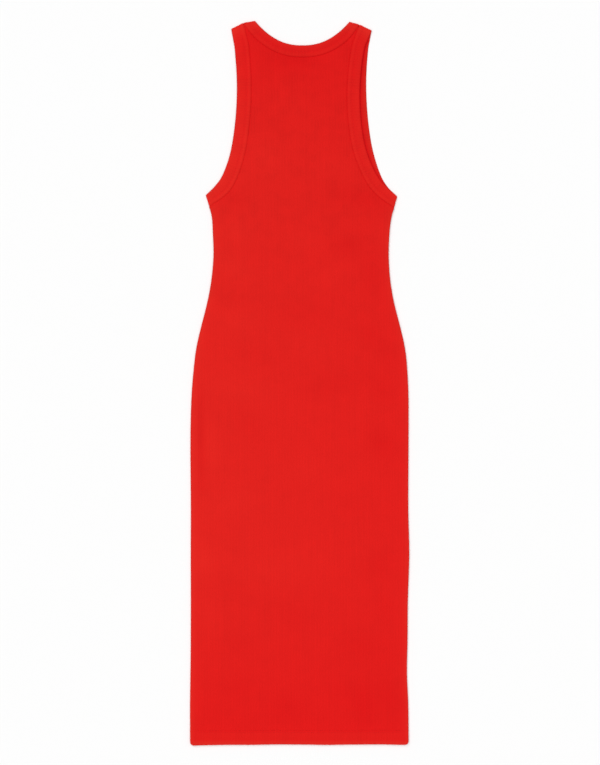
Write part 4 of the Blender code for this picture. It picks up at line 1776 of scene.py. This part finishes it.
@dataclass
class Binding:
    """A closed loop of bound cloth: along the back layer, over a fold, along the front, and back.

    Its rows of points inside lie at shares of its width from its edge, and nearer the edge at distances.
    """

    room: Workroom
    name: str
    bands: tuple[Band, Band]
    folds: tuple[FoldLine, FoldLine]
    rests_on: list[str]
    stitches_in: float
    size: StitchSize = StitchSize()
    per_rib: int = 6
    fold_steps: int = 10
    millimetre: float = 0.001
    inside_shares: tuple[float, ...] = (0.98, 0.70)
    inside_rows: tuple[float, ...] = (0.0100, 0.0080, 0.0064, 0.0050, 0.0037, 0.0024, 0.0011)
    inside_rib: float = 0.0002
    # Painted shade on the lower layer's inside.
    inside_shade: float = 0.072
    # Painted sheen along the edge.
    edge_reach: float = 0.0060
    # Painted shadow below the step that the upper layer's edge makes: a deeper red, a little lighter
    # overall.
    step_shade: float = -0.03
    step_deep_shade: float = 3.0
    step_reach: float = 0.0029
    # Painted shadow along the upper layer's edge, where it lies over the lower layer.
    overlaps: bool = False
    overlap_deep_shade: float = 2.6
    overlap_shade: float = 0.02
    overlap_reach: float = 0.0018
    overlap_span: float = 0.0040
    # Painted highlight on the lower layer's rim beyond the step and along the rims.
    glow: float = 1.5
    glow_reach: float = 0.0034
    rim_glow: float = 0.5
    rim_glow_reach: float = 0.0026
    # Painted light over a whole binding, painted shade below 0, and extra painted sheen.
    to_light: float = 0.0
    extra_sheen: float = 0.0
    # Painted highlight at the folds, where the seam's painted shade fades.
    fold_glows: Pair = (2.0, 0.7)
    fold_reaches: Pair = (0.013, 0.0078)
    fold_fade: float = 0.5
    # Painted shade along the rim.
    rim_shade: float = 0.15
    rim_reach: float = 0.0014
    stitches_out: float = 1.1

    @property
    def inside_count(self) -> int:
        """How many rows of points there are inside the binding."""
        return len(self.inside_shares) + len(self.inside_rows)

    @property
    def upper_count(self) -> int:
        """How many cross-sections there are in the upper layer."""
        return self.bands[0].ribs * self.per_rib + 1

    def profile(self, width: np.ndarray, upper: float) -> tuple[np.ndarray, np.ndarray, np.ndarray]:
        """Sets out the points round a cross-section.

        Args:
            width: The binding's width at each station.
            upper: 1 in the upper layer, 0 in the lower one.

        Returns:
            For each station and point, the distance from the edge. For each point, the distance out from
            the fold's level, and how far a rib lifts it outwards.
        """
        cloth, pattern = self.room.pattern.cloth, self.room.pattern
        inner = 0.5 * cloth.gap
        rest = cloth.thickness - cloth.rest_height
        body = rest + (pattern.band_cloth - rest) * upper
        rib = cloth.rest_height + (cloth.rib_height - cloth.rest_height) * upper
        swelling = upper * self.millimetre
        inside_rib = self.inside_rib * (1.0 - upper)
        inside = [(share, 0.0) for share in self.inside_shares]
        inside += [(0.0, from_edge) for from_edge in self.inside_rows]
        rows = [(*place, inner + inside_rib, -inside_rib) for place in inside]
        for row in band_rows(self.stitches_in):
            out = inner + body * row.thick + row.swell * swelling
            rows.append((row.share, row.further, out, rib * row.ribbed))
        share, further, out, lift = np.array(rows).T
        return width[:, None] * share + further, out, lift

    def sections(self, edge: np.ndarray, seam: np.ndarray, turn: float, outs: Ways) -> Sections:
        """Makes cross-sections between edge and seam points.

        Args:
            edge: The stations' points on the edge.
            seam: The stations' points on the seam.
            turn: 1 in the upper layer, -1 in the lower one, and between them round a fold.
            outs: The ways out at the edge and at the seam.

        Returns:
            The cross-sections.
        """
        angle = turn * math.pi / 2
        width = np.linalg.norm(seam - edge, axis=1)
        distance, radius, rib = self.profile(width, 0.5 * (1.0 + turn))
        share = (distance / width[:, None])[..., None]
        out = outs[0] + (outs[1] - outs[0]) * share
        flat = edge[:, None, :] + (seam - edge)[:, None, :] * share
        flat = flat + out * (radius * math.cos(angle))[:, None]
        height = self.room.pattern.cloth.fold_level + radius * math.sin(angle) + 0 * distance
        rise = rib * math.sin(angle) + 0 * distance
        lift_flat = out * (rib * math.cos(angle))[:, None]
        return Sections(
            points=np.concatenate([flat, height[..., None]], axis=-1),
            lifts=np.concatenate([lift_flat, rise[..., None]], axis=-1),
            from_edge=distance,
            from_seam=width[:, None] - distance,
        )

    def loop(self) -> tuple[Sections, np.ndarray]:
        """Makes the loop's cross-sections, along each layer and round the fold after it.

        Returns:
            The cross-sections, and their places along the loop in ribs, with the loop's end added.
        """
        none = np.zeros(2)
        back, front = (band.stations(self.per_rib) for band in self.bands)
        parts, places, place = [], [], 0.0
        turns = np.array([1.0 - 2.0 * i / self.fold_steps for i in range(1, self.fold_steps)])
        for edge, seam, turn, fold, band in (
            (*back, 1.0, self.folds[1], self.bands[0]),
            (front[0][::-1], front[1][::-1], -1.0, self.folds[0], self.bands[1]),
        ):
            parts.append(self.sections(edge, seam, turn, (none, none)))
            places.append(place + np.arange(len(edge)) / self.per_rib)
            place += band.ribs
            for i, bent in enumerate(turns if turn > 0 else -turns, start=1):
                outs = (fold.edge_out, fold.seam_out)
                parts.append(self.sections(fold.edge[None], fold.seam[None], bent, outs))
                places.append(np.array([place + i / self.fold_steps]))
            place += 1.0
        names = [item.name for item in fields(Sections)]
        whole = {name: np.concatenate([getattr(part, name) for part in parts]) for name in names}
        return Sections(**whole), np.append(np.concatenate(places), place)

    def build(self) -> bpy.types.Object:
        """Makes the binding's shell with its ribs.

        Returns:
            The shell.
        """
        loop, places = self.loop()
        count, corners = loop.points.shape[:2]
        i, k = np.meshgrid(np.arange(count), np.arange(corners), indexing="ij")
        j, m = (i + 1) % count, (k + 1) % corners
        quads = np.stack([i * corners + k, i * corners + m, j * corners + m, j * corners + k], axis=-1)
        mesh = bpy.data.meshes.new(self.name + "_cloth")
        flat = (loop.points - self.room.origin).reshape(-1, 3)
        mesh.from_pydata(flat.tolist(), [], quads.reshape(-1, 4)[:, ::-1].tolist())
        pitch = self.room.pattern.cloth.pitch
        gaps = np.diff(loop.points, axis=1, append=loop.points[:, :1])
        round_it = np.cumsum(np.linalg.norm(gaps, axis=2), axis=1)
        start = np.concatenate([np.zeros((count, 1)), round_it], axis=1)
        u = np.stack([places[i], places[i], places[i + 1], places[i + 1]], axis=-1)
        v = np.stack([start[i, k], start[i, k + 1], start[j, k + 1], start[j, k]], axis=-1)
        uv = np.stack([u * pitch, v], axis=-1).reshape(-1, 4, 2)[:, ::-1]
        mesh.uv_layers.new(name=UV_NAME).data.foreach_set("uv", uv.ravel())
        tell(mesh, PLACE, "FLOAT", np.repeat(places[:-1] * pitch, corners))
        tell(mesh, LIFT, "FLOAT_VECTOR", loop.lifts)
        self.tell_looks(mesh, loop)
        shell = self.room.ribbed(mesh, self.room.band_finish)
        work = bmesh.new()
        work.from_mesh(shell.data)
        if turned_outward(work):
            work.to_mesh(shell.data)
        work.free()
        return shell

    def tell_looks(self, mesh: bpy.types.Mesh, loop: Sections) -> None:
        """Writes the painted sheen along the edges and folds, and the painted shade at the seam, below the
        step, along the rims and on the lower layer's inside.

        Args:
            mesh: The binding's shell.
            loop: Its cross-sections.
        """
        step, inside = self.below_the_step(loop.points)
        over = self.over_the_step(loop)
        folds = self.near_folds(loop.points)
        from_edge = np.maximum(loop.from_edge, 0.0)
        # Painted sheen along the edge and its rim, none where the upper edge lies over the lower layer, more
        # at the folds, and a painted highlight on the lower layer's rim beyond the step.
        pale = np.exp(-from_edge / self.edge_reach)
        pale += self.rim_glow * bell(from_edge, self.rim_glow_reach) * (1 - inside)
        pale *= 1 - over
        pale += sum(glow * near for glow, near in zip(self.fold_glows, folds))
        pale += self.glow * inside * bell(from_edge, self.glow_reach) * (1 - step)
        # Painted shade at the seam and painted highlight on its ridges, fading at the folds, with painted
        # shadow below the step and along the overlapping edge.
        places = [(tone.from_seam, tone.dark) for tone in seam_tones(self.stitches_in)]
        ditch_shade = np.interp(loop.from_seam, *zip(*places)) * (1 - inside)
        ditch_shade *= 1 - self.fold_fade * sum(folds)
        ditch_shade += self.step_deep_shade * step + self.overlap_deep_shade * over
        # Painted shade along the rim, on the lower layer's inside and below the step, and painted light or
        # shade over the whole binding.
        rim = self.rim_shade * bell(from_edge, self.rim_reach) * (1 - over)
        shade = self.inside_shade * inside + self.step_shade * step + rim + self.overlap_shade * over
        tell(mesh, EDGE_SHEEN, "FLOAT", pale + self.extra_sheen)
        tell(mesh, DITCH_SHADE, "FLOAT", ditch_shade)
        tell(mesh, SHADE, "FLOAT", shade - self.to_light)

    def below_the_step(self, points: np.ndarray) -> tuple[np.ndarray, np.ndarray]:
        """Finds the lower layer's inside, and where the upper layer's edge keeps the light off it.

        Args:
            points: The loop's points, one cross-section a row.

        Returns:
            For each point, how deep it is in the step's shade and whether it is on the inside.
        """
        tree = search_tree(self.bands[0].edge)
        step, inside = np.zeros(points.shape[:2]), np.zeros(points.shape[:2])
        low = points[:, : self.inside_count, 2] < self.room.pattern.cloth.fold_level
        inside[:, : self.inside_count] = low
        for i, k in np.argwhere(low):
            step[i, k] = bell(tree.find((*points[i, k, :2], 0.0))[2], self.step_reach)
        return step, inside

    def over_the_step(self, loop: Sections) -> np.ndarray:
        """Works out how far each point is in the upper layer's edge, where it lies in on the lower layer.

        Args:
            loop: The cross-sections.

        Returns:
            From 0 to 1 for each point.
        """
        over = np.zeros(loop.from_edge.shape)
        if not self.overlaps:
            return over
        tree = search_tree(self.bands[1].edge)
        for i, from_edge in enumerate(loop.from_edge[: self.upper_count]):
            edge = loop.points[i, int(np.argmin(np.abs(from_edge)))]
            off = tree.find((*edge[:2], 0.0))[2]
            over[i] = float(smooth(off / self.overlap_span)) * bell(from_edge, self.overlap_reach)
        return over

    def near_folds(self, points: np.ndarray) -> list[np.ndarray]:
        """Works out how near points are to the binding's folds.

        Args:
            points: The loop's points, one cross-section a row.

        Returns:
            For each fold, 1 at the fold, falling to 0 a little way from it.
        """
        near = []
        for fold, reach in zip(self.folds, self.fold_reaches):
            way = unit(fold.seam - fold.edge)
            from_edge = points[..., :2] - fold.edge
            near.append(bell(from_edge[..., 0] * way[1] - from_edge[..., 1] * way[0], reach))
        return near

    def stitching(self) -> bpy.types.Object:
        """Makes the rows of stitches that hold the binding's turned edge, one in each layer.

        Returns:
            The stitches.
        """
        loop, _ = self.loop()
        names = [row.name for row in band_rows(self.stitches_in)]
        row = self.inside_count + names.index("stitches")
        path = loop.points[:, row] + loop.lifts[:, row] * self.stitches_out
        lower = self.upper_count + self.fold_steps - 1, len(path) - self.fold_steps + 1
        spans = ((0, self.upper_count), lower)
        edges = [(i, i + 1) for start, end in spans for i in range(start, end - 1)]
        return self.room.sewn(self.name + "_stitching", path, edges, self.size)

    def dress(self, shell: bpy.types.Object, stitches: bpy.types.Object) -> None:
        """Attaches the binding and its stitches to the body, and hides the solid that it stands for.

        Args:
            shell: The binding's shell.
            stitches: Its stitches.
        """
        for piece in (shell, stitches):
            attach(piece, BODY)
        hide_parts(self.name)


# ---------------------------------------------------------------------------------------------------
# Studio
# ---------------------------------------------------------------------------------------------------


@dataclass(frozen=True)
class SoftLight:
    """A broad, far light: its strength, its width in radians and the way that it shines."""

    name: str
    strength: float
    width: float
    way: Point
    height: float = 3.0

    def build(self) -> None:
        """Makes the light."""
        data = bpy.data.lights.new(self.name, "SUN")
        data.energy = self.strength
        data.angle = self.width
        made = placed(self.name, data)
        made.location = (0.0, 0.0, self.height)
        made.rotation_euler = Vector(self.way).to_track_quat("-Z", "Y").to_euler()


@dataclass
class Studio:
    """A plain pale floor, soft light and a camera straight above the dress."""

    centre: Pair = (0.0006, 0.0013)
    frame_height: float = 1.2692
    lens: float = 135.0
    sensor: float = 36.0
    sight: float = 50.0
    floor_size: float = 9.0
    floor_drop: float = 0.0002
    floor_pale: Colour = (0.905, 0.905, 0.905)
    floor_grey: Colour = (0.905 * 0.998, 0.905 * 0.998, 0.905 * 0.996)
    floor_noise: Pair = (3.0, 2.0)
    floor_roughness: float = 0.95
    white: Colour = (1.0, 1.0, 1.0)
    dome: float = 0.30
    backdrop: float = 0.98
    lights: tuple[SoftLight, ...] = (
        SoftLight("overhead", 1.86, 1.20, (0.0, 0.0, -1.0)),
        SoftLight("key", 0.80, 0.75, (0.42, -0.60, -0.95)),
    )

    def build(self) -> None:
        """Makes the floor, the lights and the camera."""
        self.floor()
        self.dome_light()
        for light in self.lights:
            light.build()
        self.camera()

    def floor(self) -> None:
        """Makes the pale floor."""
        mesh = bpy.data.meshes.new("floor")
        half = 0.5 * self.floor_size
        corners = [(-half, -half), (half, -half), (half, half), (-half, half)]
        mesh.from_pydata([(x, y, -self.floor_drop) for x, y in corners], [], [(0, 1, 2, 3)])
        material, tree, shader = new_material("studio_floor", self.floor_pale)
        own = tree.add("ShaderNodeTexCoord")
        patches = tree.noise(own.outputs["Object"], *self.floor_noise)
        tree.link(tree.blended(patches, self.floor_pale, self.floor_grey), shader.inputs["Base Color"])
        shader.inputs["Roughness"].default_value = self.floor_roughness
        shader.inputs["Specular IOR Level"].default_value = 0.0
        mesh.materials.append(material)
        placed("floor", mesh)

    def dome_light(self) -> None:
        """Makes the soft dome, which the camera sees as pale as the floor."""
        world = bpy.data.worlds.new("studio_dome")
        world.use_nodes = True
        tree = Tree(world.node_tree)
        lit = world.node_tree.nodes["Background"]
        lit.inputs["Color"].default_value = (*self.white, 1.0)
        lit.inputs["Strength"].default_value = self.dome
        seen = tree.add("ShaderNodeBackground", {"Color": (*self.white, 1.0), "Strength": self.backdrop})
        path = tree.add("ShaderNodeLightPath")
        inputs = {0: path.outputs["Is Camera Ray"], 1: lit.outputs[0], 2: seen.outputs[0]}
        both = tree.add("ShaderNodeMixShader", inputs)
        tree.link(both.outputs[0], world.node_tree.nodes["World Output"].inputs["Surface"])
        bpy.context.scene.world = world

    def camera(self) -> None:
        """Makes the camera."""
        data = bpy.data.cameras.new("camera")
        data.lens = self.lens
        data.sensor_width = self.sensor
        data.clip_end = self.sight
        made = placed("camera", data)
        made.location = (*self.centre, self.frame_height * self.lens / self.sensor)
        bpy.context.scene.camera = made
        bpy.context.scene.view_settings.view_transform = "Standard"


# ---------------------------------------------------------------------------------------------------
# The dress
# ---------------------------------------------------------------------------------------------------


# The cloth's dye and the pale colour of its painted sheen, and the thread's own light and dark plies.
CLOTH_RED = (0.694, 0.0080, 0.0077)
CLOTH_SHEEN = (0.760, 0.2400, 0.1150)
THREAD_RED = (0.690, 0.0090, 0.0085)
THREAD_DARK = (0.600, 0.0070, 0.0068)


def make_workroom() -> Workroom:
    """Makes what every piece shares.

    Returns:
        The cut, the node trees and the finishes.
    """
    pattern = Pattern()
    knit, tone = KnitGroup(pattern.cloth), ToneGroup()
    cloth = KnitFinish("rib_knit_cloth", CLOTH_RED, CLOTH_SHEEN)
    # The bindings get weaker painted edge sheen.
    band = KnitFinish("rib_binding_cloth", CLOTH_RED, CLOTH_SHEEN, edge_sheen_pale=0.018)
    thread = ThreadFinish("sewing_thread", THREAD_RED, THREAD_DARK)
    return Workroom(
        pattern=pattern,
        ribs=RibRelief(),
        stitches=StitchRun(),
        cloth_finish=cloth.material(knit, tone),
        band_finish=band.material(knit, tone),
        thread_finish=thread.material(),
        origin=pattern.origin(),
    )


def make_panels(room: Workroom) -> None:
    """Makes both panels with the stitches of their hems, the lower one first.

    Args:
        room: What every piece is made with.
    """
    for layer, rests_on, row_step in (
        (Layer.FRONT, ["floor"], 0.030),
        (Layer.BACK, ["front_panel_cloth"], 0.015),
    ):
        panel = Panel(room, layer, row_step)
        shell = panel.build()
        stitches = HemStitching(room, layer).build()
        panel.dress(shell, rests_on, [stitches])
        LOG.info("%s: %d faces, hem %d", shell.name, len(shell.data.polygons), len(stitches.data.polygons))


def neck_binding(room: Workroom, rests_on: list[str]) -> Binding:
    """Sets out the neck's binding.

    Args:
        room: What every piece is made with.
        rests_on: What it lies on.

    Returns:
        The binding.
    """
    bands = (room.pattern.neck_band(Layer.BACK), room.pattern.neck_band(Layer.FRONT))
    return Binding(
        room=room,
        name="neck_binding",
        bands=bands,
        folds=room.pattern.neck_folds(bands),
        rests_on=rests_on,
        stitches_in=0.0096,
        # Painted highlight along the rim and at both shoulder folds, and a little painted shade over the
        # whole binding.
        rim_glow=1.2,
        to_light=-0.012,
        fold_glows=(2.0, 2.0),
        fold_reaches=(0.013, 0.013),
    )


def armhole_binding(room: Workroom, rests_on: list[str], hand: Hand) -> Binding:
    """Sets out an armhole's binding.

    Args:
        room: What every piece is made with.
        rests_on: What it lies on.
        hand: Its side of the dress.

    Returns:
        The binding.
    """
    bands = (room.pattern.armhole_band(hand, Layer.BACK), room.pattern.armhole_band(hand, Layer.FRONT))
    return Binding(
        room=room,
        name="armhole_binding_" + hand.name.lower(),
        bands=bands,
        folds=room.pattern.armhole_folds(hand, bands),
        rests_on=rests_on,
        stitches_in=0.0084,
        # The right binding paints shadow along its upper edge, over the lower layer; the left one is painted
        # lighter, and both get extra painted sheen, the left more.
        overlaps=hand is Hand.RIGHT,
        to_light=room.pattern.of_hand((0.022, 0.0), hand),
        extra_sheen=room.pattern.of_hand((0.30, 0.10), hand),
    )


def make_bindings(room: Workroom) -> None:
    """Makes the bindings with their stitches, the neck's first.

    Args:
        room: What every piece is made with.
    """
    under = ["floor", "front_panel_cloth"]
    bindings = [neck_binding(room, under)]
    bindings += [armhole_binding(room, under, hand) for hand in Hand]
    for binding in bindings:
        shell, stitches = binding.build(), binding.stitching()
        binding.dress(shell, stitches)
        LOG.info("%s: %d faces", shell.name, len(shell.data.polygons))


def corners(bounds: tuple) -> list[list[float]]:
    """A box as plain lists of numbers."""
    return [[float(value) for value in corner] for corner in bounds]


def main() -> None:
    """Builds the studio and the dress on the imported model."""
    logging.basicConfig(level=logging.INFO, format="%(name)s: %(message)s")
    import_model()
    Studio().build()
    room = make_workroom()
    make_panels(room)
    make_bindings(room)


if __name__ == "__main__":
    main()
